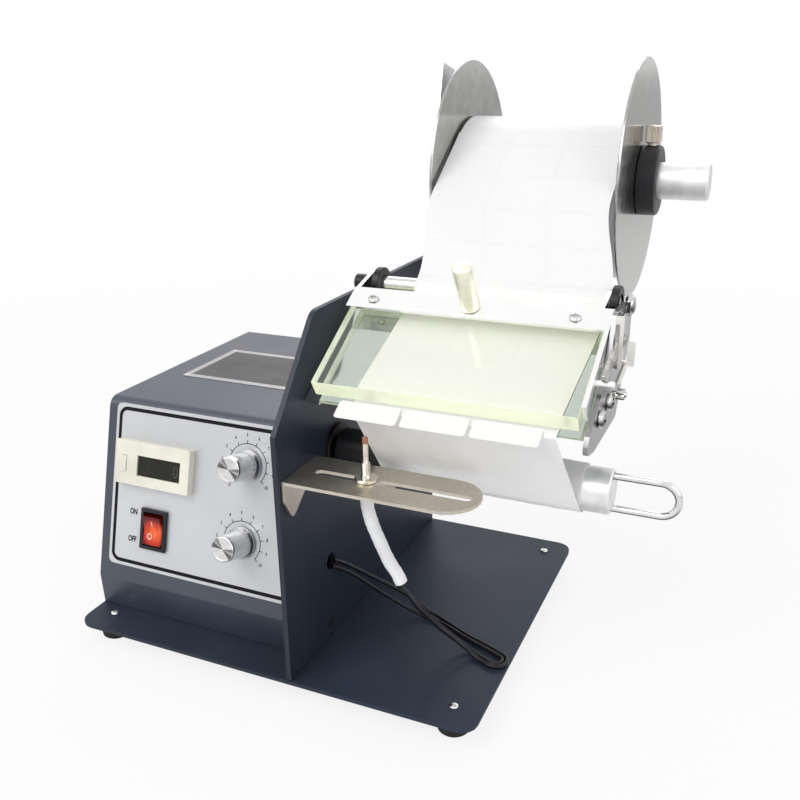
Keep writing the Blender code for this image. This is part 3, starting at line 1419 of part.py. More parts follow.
def make_cover(table):
    """Hinged hold-down cover: clear block under a steel sheet, with handle and screws."""
    pivot = (0, COVER_PIVOT_UP, COVER_PIVOT_OFF)
    hinge = add_frame("cover_hinge", table, pivot)
    off_low = ACRYLIC_OFF - COVER_PIVOT_OFF
    off_high = off_low + ACRYLIC_THICKNESS
    acrylic = add_object(
        "clear_block",
        block(
            ACRYLIC_LEFT,
            ACRYLIC_RIGHT,
            ACRYLIC_FRONT - COVER_PIVOT_UP,
            ACRYLIC_BACK - COVER_PIVOT_UP,
            off_low,
            off_high,
        ),
        hinge,
        look=((0.86, 0.93, 0.62), 0.05, 0.0, 0.9),
    )
    soften(acrylic, ACRYLIC_EDGE, 1)
    sheet_low = off_high + TOUCH_GAP
    sheet_high = sheet_low + COVER_SHEET
    right = COVER_ARM_X + COVER_ARM_THICKNESS
    sheet = add_object(
        "cover_sheet",
        block(
            COVER_LEFT,
            right,
            COVER_FRONT - COVER_PIVOT_UP,
            COVER_BACK - COVER_PIVOT_UP,
            sheet_low,
            sheet_high,
        ),
        hinge,
        look=STEEL,
    )
    arm = rectangle(
        COVER_ARM_FRONT - COVER_PIVOT_UP,
        sheet_high - COVER_ARM_DEPTH,
        COVER_BACK - COVER_PIVOT_UP,
        sheet_high,
    )
    join(sheet, prism(arm, COVER_ARM_X, COVER_ARM_X + COVER_ARM_THICKNESS))
    for x_low in (COVER_LEFT, COVER_EAR_RIGHT):
        ear = [
            Vector((COVER_EAR_FRONT - COVER_PIVOT_UP, sheet_low + COVER_SHEET / 2)),
            Vector((COVER_EAR_FRONT - COVER_PIVOT_UP, sheet_low)),
        ]
        ear += arc(0, 0, COVER_EAR_RADIUS, COVER_EAR_START, QUARTER_TURN / 2, 2 * ARC_STEPS)
        ear.append(Vector((COVER_BACK - COVER_PIVOT_UP, sheet_low + COVER_SHEET / 2)))
        join(sheet, prism(ear, x_low, x_low + COVER_ARM_THICKNESS))
        bore = pole(
            GUIDE_ROD_RADIUS + BORE_CLEARANCE,
            x_low - CUT_OVERRUN / 2,
            x_low + COVER_ARM_THICKNESS + CUT_OVERRUN / 2,
            SMALL_SIDES,
            "X",
        )
        cut(sheet, bore)
    pin_place = (0, COVER_PIN_UP - COVER_PIVOT_UP, COVER_PIN_OFF - COVER_PIVOT_OFF + COVER_PIN_RADIUS)
    join(sheet, pole(COVER_PIN_RADIUS, COVER_ARM_X, COVER_ARM_X + COVER_PIN_REACH, SMALL_SIDES, "X", pin_place))
    handle = [
        (0, 0),
        (HANDLE_RADIUS, 0),
        (HANDLE_RADIUS, HANDLE_LENGTH - HANDLE_EDGE),
        (HANDLE_RADIUS - HANDLE_EDGE, HANDLE_LENGTH),
        (0, HANDLE_LENGTH),
    ]
    add_object(
        "lift_handle",
        turned(handle, ROUND_SIDES),
        hinge,
        (HANDLE_X, HANDLE_UP - COVER_PIVOT_UP, sheet_high + TOUCH_GAP),
        look=STEEL,
    )
    screw = screw_profile(COVER_SCREW_RADIUS, COVER_SCREW_LENGTH, COVER_SCREW_HEAD, COVER_SCREW_HEAD_HEIGHT)
    bore = COVER_SCREW_RADIUS + COVER_SCREW_CLEARANCE
    for name, x in (("cover_screw_left", COVER_SCREW_LEFT), ("cover_screw_right", COVER_SCREW_RIGHT)):
        spot = (x, COVER_SCREW_UP - COVER_PIVOT_UP, 0)
        hole_low = sheet_high - COVER_SCREW_LENGTH - CUT_OVERRUN / 2
        cut(acrylic, pole(bore, hole_low, sheet_high, SMALL_SIDES, "Z", spot))
        cut(sheet, pole(bore, sheet_low - CUT_OVERRUN, sheet_high + CUT_OVERRUN, SMALL_SIDES, "Z", spot))
        add_object(
            name,
            turned(screw, SMALL_SIDES),
            hinge,
            (spot[0], spot[1], sheet_high + TOUCH_GAP),
            look=STEEL,
        )


def make_latch(station):
    """Hold-down lever on the end bracket, with its own stud and a finger over the cover's pin."""
    x = BRACKET_X + BRACKET_THICKNESS + TOUCH_GAP
    pin = Vector(on_table(COVER_PIN_UP, COVER_PIN_OFF + COVER_PIN_RADIUS))
    pin -= Vector((LATCH_PIVOT_Y, LATCH_PIVOT_Z))
    lift = Vector((-SLOPE_Z, SLOPE_Y)) * (COVER_PIN_RADIUS + LATCH_NOSE_RADIUS + LATCH_NOSE_GAP)
    nose = pin + lift
    heading = math.atan2(nose.y, nose.x)
    root = Vector((-math.sin(heading), math.cos(heading))) * LATCH_ROOT_HALF
    finger = arc(nose.x, nose.y, LATCH_NOSE_RADIUS, heading - QUARTER_TURN, heading + QUARTER_TURN, ARC_STEPS)
    finger += [root, -root]
    lever = add_object(
        "latch_lever",
        prism(
            rectangle(-LATCH_BODY_FRONT, -LATCH_BODY_DOWN, LATCH_BODY_BACK, LATCH_BODY_UP, LATCH_CORNER),
            0,
            LATCH_THICKNESS,
        ),
        station,
        (x, LATCH_PIVOT_Y, LATCH_PIVOT_Z),
        look=NICKEL,
    )
    join(lever, prism(finger, 0, LATCH_THICKNESS))
    stud_tail = BRACKET_THICKNESS + 2 * TOUCH_GAP
    stud = [
        (0, -stud_tail),
        (LATCH_STUD_RADIUS, -stud_tail),
        (LATCH_STUD_RADIUS, LATCH_THICKNESS / 2),
        (0, LATCH_THICKNESS / 2),
    ]
    join(lever, turned(stud, SMALL_SIDES, "X"))
    head = [
        (0, LATCH_THICKNESS / 2),
        (LATCH_STUD_HEAD_RADIUS, LATCH_THICKNESS / 2),
        (LATCH_STUD_HEAD_RADIUS, LATCH_THICKNESS + BRACKET_SCREW_HEAD_HEIGHT / 2),
        (LATCH_STUD_HEAD_RADIUS / 2, LATCH_THICKNESS + BRACKET_SCREW_HEAD_HEIGHT),
        (0, LATCH_THICKNESS + BRACKET_SCREW_HEAD_HEIGHT),
    ]
    join(lever, turned(head, SMALL_SIDES, "X"))


def arm_front(z):
    """The leaning front edge of the roll arm at a height."""
    return ARM_TOP_FRONT_Y - (ARM_TOP_FRONT_Z - z) * math.tan(ARM_LEAN)


def make_roll_arm(station):
    """Arm that leans back from the side plate, its screws and the rod it holds."""
    across = Vector((math.cos(ARM_LEAN), -math.sin(ARM_LEAN)))
    down = Vector((-math.sin(ARM_LEAN), -math.cos(ARM_LEAN)))
    top_front = Vector((ARM_TOP_FRONT_Y, ARM_TOP_FRONT_Z))
    top_back = top_front + across * ARM_WIDTH
    back_low = top_back + down * ((top_back.y - ARM_BACK_LOW_Z) / math.cos(ARM_LEAN))
    outline = [
        Vector((ARM_FOOT_FRONT_Y, ARM_FOOT_Z)),
        Vector((ARM_FOOT_BACK_Y, ARM_FOOT_Z)),
        Vector((ARM_FOOT_BACK_Y, ARM_WAIST_Z)),
        back_low,
        top_back,
        top_front,
        Vector((arm_front(ARM_TIE_Z), ARM_TIE_Z)),
        Vector((ARM_FOOT_FRONT_Y, ARM_WAIST_Z)),
    ]
    arm = add_object("roll_arm", prism(outline, TOUCH_GAP, TOUCH_GAP + ARM_THICKNESS), station, look=STEEL)
    face = TOUCH_GAP + ARM_THICKNESS
    vent = top_front + across * ARM_HOLE_INSET + down * ARM_HOLE_DROP
    low = TOUCH_GAP - CUT_OVERRUN
    high = face + CUT_OVERRUN
    cut(arm, pole(ARM_HOLE_RADIUS, low, high, SMALL_SIDES, "X", (0, vent.x, vent.y)))
    cut(arm, pole(ROD_SPIGOT_RADIUS + BORE_CLEARANCE, low, high, SMALL_SIDES, "X", (0, ROD_Y, ROD_Z)))
    screw = screw_profile(
        ARM_SCREW_RADIUS, face + SIDE_THICKNESS + ARM_SCREW_TAIL, ARM_SCREW_HEAD, ARM_SCREW_HEAD_HEIGHT
    )
    for name, z in (("arm_screw_low", ARM_SCREW_LOW_Z), ("arm_screw_high", ARM_SCREW_HIGH_Z)):
        bore = ARM_SCREW_RADIUS + BORE_CLEARANCE
        cut(arm, pole(bore, low, high, SMALL_SIDES, "X", (0, ARM_SCREW_Y, z)))
        add_object(
            name, turned(screw, SMALL_SIDES, "X"), station, (face + TOUCH_GAP, ARM_SCREW_Y, z), look=STEEL
        )
    rod_start = face + TOUCH_GAP
    rod = [
        (0, -ROD_HEAD_LENGTH),
        (ROD_HEAD_RADIUS, -ROD_HEAD_LENGTH),
        (ROD_HEAD_RADIUS, 0),
        (ROD_SPIGOT_RADIUS, 0),
        (ROD_SPIGOT_RADIUS, rod_start),
        (ROD_RADIUS, rod_start),
        (ROD_RADIUS, ROD_END - ROD_EDGE),
        (ROD_RADIUS - ROD_EDGE, ROD_END),
        (0, ROD_END),
    ]
    add_object("reel_rod", turned(rod, FINE_SIDES, "X"), station, (0, ROD_Y, ROD_Z), look=ALUMINIUM)


def make_discs(station):
    """Inner and outer roll discs, the outer one's hub and its thumb screw."""
    bore = ROD_RADIUS + BORE_CLEARANCE
    inner_hub_start = 2 * TOUCH_GAP + ARM_THICKNESS + TOUCH_GAP
    inner_end = INNER_DISC_X + DISC_THICKNESS
    inner = [
        (bore, inner_hub_start),
        (INNER_HUB_RADIUS, inner_hub_start),
        (INNER_HUB_RADIUS, INNER_DISC_X),
        (DISC_RADIUS - DISC_EDGE, INNER_DISC_X),
        (DISC_RADIUS, INNER_DISC_X + DISC_EDGE),
        (DISC_RADIUS, inner_end - DISC_EDGE),
        (DISC_RADIUS - DISC_EDGE, inner_end),
        (bore, inner_end),
    ]
    place = (0, ROD_Y, ROD_Z)
    add_object("inner_disc", turned(inner, FINE_SIDES, "X", ring=True), station, place, look=STEEL)
    outer = [
        (bore, 0),
        (DISC_RADIUS - DISC_EDGE, 0),
        (DISC_RADIUS, DISC_EDGE),
        (DISC_RADIUS, DISC_THICKNESS - DISC_EDGE),
        (DISC_RADIUS - DISC_EDGE, DISC_THICKNESS),
        (bore, DISC_THICKNESS),
    ]
    slider = add_frame("outer_disc_slider", station, (OUTER_DISC_X, ROD_Y, ROD_Z))
    add_object("outer_disc", turned(outer, FINE_SIDES, "X", ring=True), slider, look=STEEL)
    hub_start = DISC_THICKNESS + TOUCH_GAP
    hub_end = hub_start + HUB_WIDTH
    hub = [
        (bore, hub_start),
        (HUB_RADIUS, hub_start),
        (HUB_RADIUS, hub_end - HUB_EDGE),
        (HUB_RADIUS - HUB_EDGE, hub_end),
        (bore, hub_end),
    ]
    hub_solid = add_object(
        "disc_hub", turned(hub, ROUND_SIDES, "X", ring=True), slider, look=BLACK_PLASTIC
    )
    screw_x = hub_start + HUB_WIDTH / 2
    hole = pole(
        THUMB_SHANK_RADIUS + BORE_CLEARANCE,
        ROD_RADIUS,
        HUB_RADIUS + CUT_OVERRUN,
        SMALL_SIDES,
        "Z",
        (screw_x, 0, 0),
    )
    cut(hub_solid, hole)
    seat = HUB_RADIUS + TOUCH_GAP
    thumb = [
        (0, ROD_RADIUS + TOUCH_GAP),
        (THUMB_SHANK_RADIUS, ROD_RADIUS + TOUCH_GAP),
        (THUMB_SHANK_RADIUS, seat + THUMB_NECK_HEIGHT),
        (THUMB_HEAD_RADIUS - THUMB_EDGE, seat + THUMB_NECK_HEIGHT),
        (THUMB_HEAD_RADIUS, seat + THUMB_NECK_HEIGHT + THUMB_EDGE),
        (THUMB_HEAD_RADIUS, seat + THUMB_HEAD_HEIGHT - THUMB_EDGE),
        (THUMB_HEAD_RADIUS - THUMB_EDGE, seat + THUMB_HEAD_HEIGHT),
        (0, seat + THUMB_HEAD_HEIGHT),
    ]
    add_object("thumb_screw", turned(thumb, ROUND_SIDES), slider, (screw_x, 0, 0), look=NICKEL)


def make_roll(station):
    """Label roll wound on a cardboard core that hangs on the rod."""
    place = (0, ROD_Y, ROLL_Z)
    roll_end = ROLL_X + PAPER_WIDTH
    core = [
        (CORE_RADIUS - CORE_WALL, ROLL_X),
        (CORE_RADIUS, ROLL_X),
        (CORE_RADIUS, roll_end),
        (CORE_RADIUS - CORE_WALL, roll_end),
    ]
    add_object(
        "roll_core",
        turned(core, ROUND_SIDES, "X", ring=True),
        station,
        place,
        look=((0.55, 0.42, 0.28), 0.8, 0.0),
    )
    inner = CORE_RADIUS + TOUCH_GAP
    roll = [
        (inner, ROLL_X),
        (ROLL_RADIUS, ROLL_X),
        (ROLL_RADIUS, roll_end),
        (inner, roll_end),
    ]
    add_object("label_roll", turned(roll, FINE_SIDES, "X", ring=True), station, place, look=PAPER)


def tangent_point(centre, radius, outside, side):
    """Where the line from an outside point touches a circle, on the left (1) or right (-1) of its run."""
    reach = Vector(centre) - Vector(outside)
    heading = math.atan2(reach.y, reach.x)
    lean = math.asin(radius / reach.length)
    length = math.sqrt(reach.length**2 - radius**2)
    turn = heading + side * lean
    return Vector(outside) + Vector((math.cos(turn), math.sin(turn))) * length


def leave_circle(start, end, centre, radius):
    """Where the run from a point inside a circle towards another point leaves the circle."""
    run = (end - start).normalized()
    offset = start - Vector(centre)
    along = offset.dot(run)
    return start + run * (math.sqrt(along**2 - offset.length_squared + radius**2) - along)


def make_paper(station, table):
    """Label paper from the roll over the table, round the peel edge and down to the shaft."""
    half = PAPER_THICKNESS / 2
    lift = TOUCH_GAP + half
    guide = Vector(on_table(COVER_PIVOT_UP, COVER_PIVOT_OFF))
    over_guide = guide + Vector((-SLOPE_Z, SLOPE_Y)) * (GUIDE_ROD_RADIUS + lift)
    start = tangent_point((ROD_Y, ROLL_Z), ROLL_RADIUS + lift, over_guide, 1)
    clear = leave_circle(start, over_guide, (ROD_Y, ROD_Z), DISC_RADIUS + lift)
    dip = Vector(on_table(PAPER_DIP_UP, lift))
    off_guide = tangent_point(guide, GUIDE_ROD_RADIUS + lift, dip, 1)
    edge = Vector(on_table(0, lift))
    nose = edge + Vector((-SLOPE_Y, -SLOPE_Z)) * lift
    turn_under = nose + Vector((0, -1)) * (2 * lift)
    shaft_radius = SHAFT_RADIUS + TOUCH_GAP + LINER_THICKNESS + lift
    low = tangent_point((SHAFT_Y, SHAFT_Z), shaft_radius, turn_under, -1)
    stations = [
        (start, ROLL_X),
        (clear, ROLL_X),
        (over_guide, PAPER_GUIDE_X),
        (off_guide, PAPER_GUIDE_X),
        (dip, PAPER_GUIDE_X),
        (nose, PAPER_PEEL_X),
        (turn_under, PAPER_PEEL_X),
        (low, PAPER_SHAFT_X),
    ]
    shape = bmesh.new()
    rings = []
    for index, (point, x) in enumerate(stations):
        before = point - stations[index - 1][0] if index else stations[1][0] - point
        after = stations[index + 1][0] - point if index + 1 < len(stations) else before
        before.normalize()
        after.normalize()
        along = (before + after).normalized()
        normal = Vector((-along.y, along.x)) * (half / max(along.dot(after), MITRE_SHARE))
        upper = point - normal
        lower = point + normal
        corners = [
            (x, upper.x, upper.y),
            (x + PAPER_WIDTH, upper.x, upper.y),
            (x + PAPER_WIDTH, lower.x, lower.y),
            (x, lower.x, lower.y),
        ]
        rings.append([shape.verts.new(corner) for corner in corners])
    shape.faces.new(rings[0])
    shape.faces.new(list(reversed(rings[-1])))
    for ring, following in zip(rings, rings[1:]):
        for index in range(len(ring)):
            after = (index + 1) % len(ring)
            shape.faces.new([ring[index], ring[after], following[after], following[index]])
    add_object("label_paper", shape, station, look=PAPER)
    make_front_labels(table)


def make_front_labels(table):
    """The row of labels that has run out over the peel edge."""
    low = 2 * TOUCH_GAP + PAPER_THICKNESS
    pitch = LABEL_WIDTH + LABEL_SPACE
    row = LABEL_COUNT * pitch - LABEL_SPACE
    outline = rectangle(LABEL_LEFT, -LABEL_OVERHANG, LABEL_LEFT + row, LABEL_TAIL, LABEL_CORNER)
    labels = add_object(
        "front_labels",
        prism(outline, low, low + LABEL_THICKNESS, "Z"),
        table,
        look=((0.95, 0.95, 0.94), 0.5, 0.0),
    )
    for number in range(1, LABEL_COUNT):
        x = LABEL_LEFT + number * pitch - LABEL_SPACE
        cut(labels, block(
            x,
            x + LABEL_SPACE,
            -LABEL_OVERHANG - CUT_OVERRUN,
            LABEL_SLIT - LABEL_OVERHANG,
            low - CUT_OVERRUN,
            low + CUT_OVERRUN,
        ))


def make_sensor(station):
    """Slotted bracket with the label sensor in it and the sleeve over its leads."""
    top = SENSOR_PLATE_Z
    low = top - SENSOR_PLATE_THICKNESS
    half = SENSOR_PLATE_WIDTH / 2
    middle = SENSOR_PLATE_FRONT + half
    back = SENSOR_PLATE_FRONT + SENSOR_PLATE_WIDTH
    outline = [Vector((TOUCH_GAP, SENSOR_PLATE_FRONT))]
    outline += arc(SENSOR_PLATE_REACH - half, middle, half, -QUARTER_TURN, QUARTER_TURN, 3 * ARC_STEPS)
    outline.append(Vector((TOUCH_GAP, back)))
    bracket = add_object("sensor_bracket", prism(outline, low, top, "Z"), station, look=NICKEL)
    tab = rounded_outline([
        (SENSOR_PLATE_FRONT, low + SENSOR_PLATE_THICKNESS / 2, 0),
        (back, low + SENSOR_PLATE_THICKNESS / 2, 0),
        (SENSOR_TAB_TIP_Y, top - SENSOR_TAB_DROP, SENSOR_TAB_RADIUS),
        (SENSOR_PLATE_FRONT, top - SENSOR_TAB_DROP / 2, SENSOR_TAB_RADIUS),
    ])
    join(bracket, prism(tab, TOUCH_GAP, TOUCH_GAP + SENSOR_PLATE_THICKNESS))
    back_tab = rounded_outline([
        (SENSOR_BACK_TAB_X - SENSOR_BACK_TAB_HALF, low + SENSOR_PLATE_THICKNESS / 2, 0),
        (SENSOR_BACK_TAB_X, top - SENSOR_TAB_DROP, SENSOR_TAB_RADIUS),
        (SENSOR_BACK_TAB_X + SENSOR_BACK_TAB_HALF, low + SENSOR_PLATE_THICKNESS / 2, 0),
    ])
    join(bracket, prism(back_tab, back - SENSOR_PLATE_THICKNESS, back, "Y"))
    slot_left = SENSOR_SLOT_START + SENSOR_SLOT_HALF
    slot_right = SENSOR_SLOT_END - SENSOR_SLOT_HALF
    slot = arc(slot_left, middle, SENSOR_SLOT_HALF, QUARTER_TURN, 3 * QUARTER_TURN, ARC_STEPS)
    slot += arc(slot_right, middle, SENSOR_SLOT_HALF, -QUARTER_TURN, QUARTER_TURN, ARC_STEPS)
    cut(bracket, prism(slot, low - CUT_OVERRUN / 4, top + CUT_OVERRUN, "Z"))
    flange_top = low - TOUCH_GAP
    flange_low = flange_top - SENSOR_FLANGE_HEIGHT
    nut_low = top + TOUCH_GAP
    nut_top = nut_low + SENSOR_NUT_HEIGHT
    barrel = [
        (0, flange_low - SENSOR_STUB),
        (SENSOR_BARREL_RADIUS, flange_low - SENSOR_STUB),
        (SENSOR_BARREL_RADIUS, flange_low),
        (SENSOR_FLANGE_RADIUS, flange_low),
        (SENSOR_FLANGE_RADIUS, flange_top),
        (SENSOR_BARREL_RADIUS, flange_top),
        (SENSOR_BARREL_RADIUS, nut_low),
        (SENSOR_NUT_RADIUS, nut_low),
        (SENSOR_NUT_RADIUS, nut_top),
        (SENSOR_BARREL_RADIUS, nut_top),
        (SENSOR_BARREL_RADIUS, top + SENSOR_SHOULDER_HEIGHT),
        (SENSOR_TIP_RADIUS, top + SENSOR_SHOULDER_HEIGHT),
        (SENSOR_TIP_RADIUS, top + SENSOR_TIP_HEIGHT),
        (0, top + SENSOR_TIP_HEIGHT),
    ]
    slider = add_frame("sensor_slider", station, (SENSOR_X, middle, 0))
    add_object("sensor_barrel", turned(barrel, ROUND_SIDES), slider, look=NICKEL)
    sleeve = smooth_route(SLEEVE_ROUTE, SLEEVE_POINTS)
    add_tube("lead_sleeve", sleeve, SLEEVE_RADIUS, station, (0, 0, 0), WHITE_PLASTIC)
    for name, route in (("sensor_lead_left", LEFT_LEAD_ROUTE), ("sensor_lead_right", RIGHT_LEAD_ROUTE)):
        add_tube(name, smooth_route(route, ROUTE_POINTS), LEAD_RADIUS, station, (0, 0, 0), LEAD_JACKET)


def main():
    """Build the machine from its sub-assemblies."""
    clear_scene()
    station = add_frame("station", None, (STATION_X, STATION_Y, BASE_TOP))
    panel = add_frame("panel", station, (0, CASE_BEND_Y, CASE_BEND_Z), QUARTER_TURN - CASE_TOP_SLOPE)
    table = add_frame("table", station, (0, PEEL_Y, PEEL_Z), TABLE_TILT)
    make_base(station)
    make_side_plate(station)
    make_case(station, panel)
    make_face_panel(panel)
    make_counter(panel)
    make_rocker(panel)
    make_dials(panel)
    make_drive(station)
    make_board(station)
    make_inlet(station)
    make_take_up(station)
    make_table(station, table)
    make_end_bracket(station)
    make_cover(table)
    make_latch(station)
    make_roll_arm(station)
    make_discs(station)
    make_roll(station)
    make_paper(station, table)
    make_sensor(station)


main()
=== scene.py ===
"""Looks of the desk label dispenser: finishes, fine meshes, the sensor's cords, a studio and the camera.

Everything is in metres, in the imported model's own frame. Most sizes are in the station frame, whose
origin is where the side plate's right face meets the front edge and the top of the base: x to the
operator's right, y to the back and z up.
"""
import logging
import math
from dataclasses import dataclass
from enum import Enum
from typing import Callable, Iterable, Sequence

import bmesh
import bpy
from mathutils import Matrix, Vector


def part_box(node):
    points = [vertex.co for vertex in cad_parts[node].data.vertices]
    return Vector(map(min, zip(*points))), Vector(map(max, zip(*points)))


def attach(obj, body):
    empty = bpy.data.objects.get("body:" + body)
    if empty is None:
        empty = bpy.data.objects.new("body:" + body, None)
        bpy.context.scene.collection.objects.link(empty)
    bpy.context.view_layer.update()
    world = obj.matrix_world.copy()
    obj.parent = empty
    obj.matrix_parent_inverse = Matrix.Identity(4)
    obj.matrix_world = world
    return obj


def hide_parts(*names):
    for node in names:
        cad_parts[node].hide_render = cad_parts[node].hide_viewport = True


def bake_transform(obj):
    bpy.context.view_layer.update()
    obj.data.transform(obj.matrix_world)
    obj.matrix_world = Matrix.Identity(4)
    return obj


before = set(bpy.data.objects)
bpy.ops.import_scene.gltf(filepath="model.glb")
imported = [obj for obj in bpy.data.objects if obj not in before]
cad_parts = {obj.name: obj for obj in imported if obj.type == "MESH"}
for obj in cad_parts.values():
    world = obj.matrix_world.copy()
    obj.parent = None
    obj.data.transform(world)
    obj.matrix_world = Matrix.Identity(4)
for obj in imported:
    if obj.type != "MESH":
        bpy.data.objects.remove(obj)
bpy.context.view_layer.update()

LOG = logging.getLogger("label_dispenser")

Mesh = bmesh.types.BMesh
Pair = tuple[float, float]
Triple = tuple[float, float, float]
FaceTest = Callable[[bmesh.types.BMFace], bool]

MM = 0.001
QUARTER = math.pi / 2
TURN = 2 * math.pi
SMOOTH_ANGLE = math.radians(35)
FLAT_ANGLE = math.radians(0.5)
WELD_DISTANCE = 0.000002
SEAT_GAP = 0.00005
SHAFT_AXIS: Pair = (0.0550, 0.0990)
ROLL_AXIS: Pair = (0.1990, 0.2028)
ROD_AXIS: Pair = (0.1990, 0.2130)
GUIDE_RADIUS = 0.0040
WHITE: Triple = (1.0, 1.0, 1.0)


class Slot(Enum):
    """The record's material slots."""

    PAINT = "charcoal_paint"
    STAINLESS = "stainless"
    ALUMINIUM = "aluminium"
    NICKEL = "nickel"
    BRONZE = "bronze"
    RUBBER = "foot_rubber"
    BLACK = "black_plastic"
    PANEL = "panel_film"
    CREAM = "cream_plastic"
    RED = "red_plastic"
    ACRYLIC = "clear_acrylic"
    LABELS = "label_stock"
    CARD = "card"
    MOTOR = "motor_steel"
    BOARD = "circuit_green"
    SLEEVE = "white_sleeve"
    LEAD = "black_lead"


class Grain(Enum):
    """How a metal's fine lines run, as the stretch of the noise that draws them."""

    ALONG_X = (9.0, 1500.0, 1500.0)
    ALONG_Z = (1500.0, 1500.0, 9.0)
    EVEN = (500.0, 500.0, 500.0)


class Signal:
    """One output socket of a node, which can be used in sums."""

    def __init__(self, bench: "NodeBench", socket: bpy.types.NodeSocket) -> None:
        """Keep the socket and the bench that its sums are added to."""
        self.bench = bench
        self.socket = socket

    def __add__(self, other: "Signal | float") -> "Signal":
        """This plus another value."""
        return self.bench.math("ADD", self, other)

    def __radd__(self, other: "Signal | float") -> "Signal":
        """Another value plus this."""
        return self.bench.math("ADD", other, self)

    def __sub__(self, other: "Signal | float") -> "Signal":
        """This less another value."""
        return self.bench.math("SUBTRACT", self, other)

    def __rsub__(self, other: "Signal | float") -> "Signal":
        """Another value less this."""
        return self.bench.math("SUBTRACT", other, self)

    def __mul__(self, other: "Signal | float") -> "Signal":
        """This times another value."""
        return self.bench.math("MULTIPLY", self, other)

    def __rmul__(self, other: "Signal | float") -> "Signal":
        """Another value times this."""
        return self.bench.math("MULTIPLY", other, self)

    def spread(self, low: float, high: float, to_low: float = 0.0, to_high: float = 1.0) -> "Signal":
        """Map the range from low to high smoothly onto another one, and hold it at the ends."""
        feeds = {0: self, 1: low, 2: high, 3: to_low, 4: to_high}
        return self.bench.node("MapRange", {"interpolation_type": "SMOOTHSTEP"}, feeds)


class NodeBench:
    """The node tree of one material or of the world, and the ways to add to it."""

    def __init__(self, tree: bpy.types.NodeTree) -> None:
        """Take over a tree and empty it."""
        self.tree = tree
        tree.nodes.clear()

    def put(self, kind: str, settings: dict | None = None, feeds: dict | None = None) -> bpy.types.Node:
        """Add any node: its settings first, then its sockets' values and links.

        Args:
            kind: The node's type name, without ShaderNode in front.
            settings: Its own settings.
            feeds: What goes into its sockets, by index or name: a signal, a number, a colour or a vector.

        Returns:
            The node.
        """
        made = self.tree.nodes.new("ShaderNode" + kind)
        for key, value in (settings or {}).items():
            setattr(made, key, value)
        for key, value in (feeds or {}).items():
            socket = made.inputs[key]
            if isinstance(value, Signal):
                self.tree.links.new(value.socket, socket)
            else:
                socket.default_value = (*value[:3], 1.0) if socket.type == "RGBA" else value
        return made

    def node(
        self, kind: str, settings: dict | None = None, feeds: dict | None = None, output: int | str = 0
    ) -> Signal:
        """Add any node and hand back one of its outputs."""
        return Signal(self, self.put(kind, settings, feeds).outputs[output])

    def math(self, operation: str, *values: Signal | float) -> Signal:
        """Add one Math node."""
        return self.node("Math", {"operation": operation}, dict(enumerate(values)))

    def vector(self, operation: str, *values: object, output: int | str = 0) -> Signal:
        """Add one Vector Math node."""
        return self.node("VectorMath", {"operation": operation}, dict(enumerate(values)), output)

    def axis(self, spot: Signal, name: str) -> Signal:
        """One axis of a vector."""
        return self.node("SeparateXYZ", None, {0: spot}, name)

    def place(self) -> Signal:
        """Object coordinates."""
        return self.node("TexCoord", output="Object")

    def noise(
        self, scale: float, detail: float, stretch: Triple | None = None, roughness: float = 0.5
    ) -> Signal:
        """Soft noise over the object, from 0 to 1.

        Args:
            scale: Bumps per metre.
            detail: How many finer layers it has.
            stretch: The factor along x, y and z, if it has one.
            roughness: How strong the finer layers are.

        Returns:
            The noise's value.
        """
        spot = self.place()
        if stretch:
            spot = self.vector("MULTIPLY", spot, stretch)
        feeds = {"Vector": spot, "Scale": scale, "Detail": detail, "Roughness": roughness}
        return self.node("TexNoise", None, feeds)

    def radius(self) -> Signal:
        """The distance from the object's own z axis."""
        return self.vector("LENGTH", self.vector("MULTIPLY", self.place(), (1.0, 1.0, 0.0)), output="Value")

    def rings(self, reach: Signal, pitch: float) -> Signal:
        """Even rings, one for every pitch of a distance."""
        return self.math("SINE", reach * (TURN / pitch)) * 0.5 + 0.5

    def mix(self, factor: Signal | float, first: object, second: object) -> Signal:
        """Blend two colours, by how much of the second there is."""
        return self.node("Mix", {"data_type": "RGBA"}, {0: factor, 6: first, 7: second}, 2)

    def bump(self, height: Signal, depth: float, strength: float = 1.0) -> Signal:
        """Turn a height from 0 to 1, worth a depth, into a normal."""
        return self.node("Bump", None, {"Strength": strength, "Distance": depth, "Height": height})

    def band(self, middle: float, width: float) -> Signal:
        """Where the surface leans by an amount, from -1 for down to 1 for up: a painted dark reflection line
        on polished metal.
        """
        lean = self.axis(self.node("NewGeometry", output="Normal"), "Z")
        return self.math("ABSOLUTE", lean - middle).spread(0.0, width, 1.0, 0.0)

    def ray(self, kind: str) -> Signal:
        """Whether the ray is of one kind."""
        return self.node("LightPath", output=f"Is {kind} Ray")

    def surface(self, colour: object, roughness: object, **more: object) -> Signal:
        """A Principled shader.

        Args:
            colour: Its base colour.
            roughness: Its roughness.
            more: Other sockets, named with underscores.

        Returns:
            The shader.
        """
        feeds = {"Base Color": colour, "Roughness": roughness}
        for key, value in more.items():
            feeds[key.replace("_", " ").title().replace("Ior", "IOR")] = value
        return self.node("BsdfPrincipled", None, feeds, "BSDF")

    def paint(self, colour: object, roughness: object, **more: object) -> None:
        """Send a Principled shader to the material's output."""
        self.put("OutputMaterial", None, {"Surface": self.surface(colour, roughness, **more)})


def shade(colour: Triple, factor: float) -> Triple:
    """A colour made darker or paler by a factor."""
    return tuple(min(part * factor, 1.0) for part in colour)


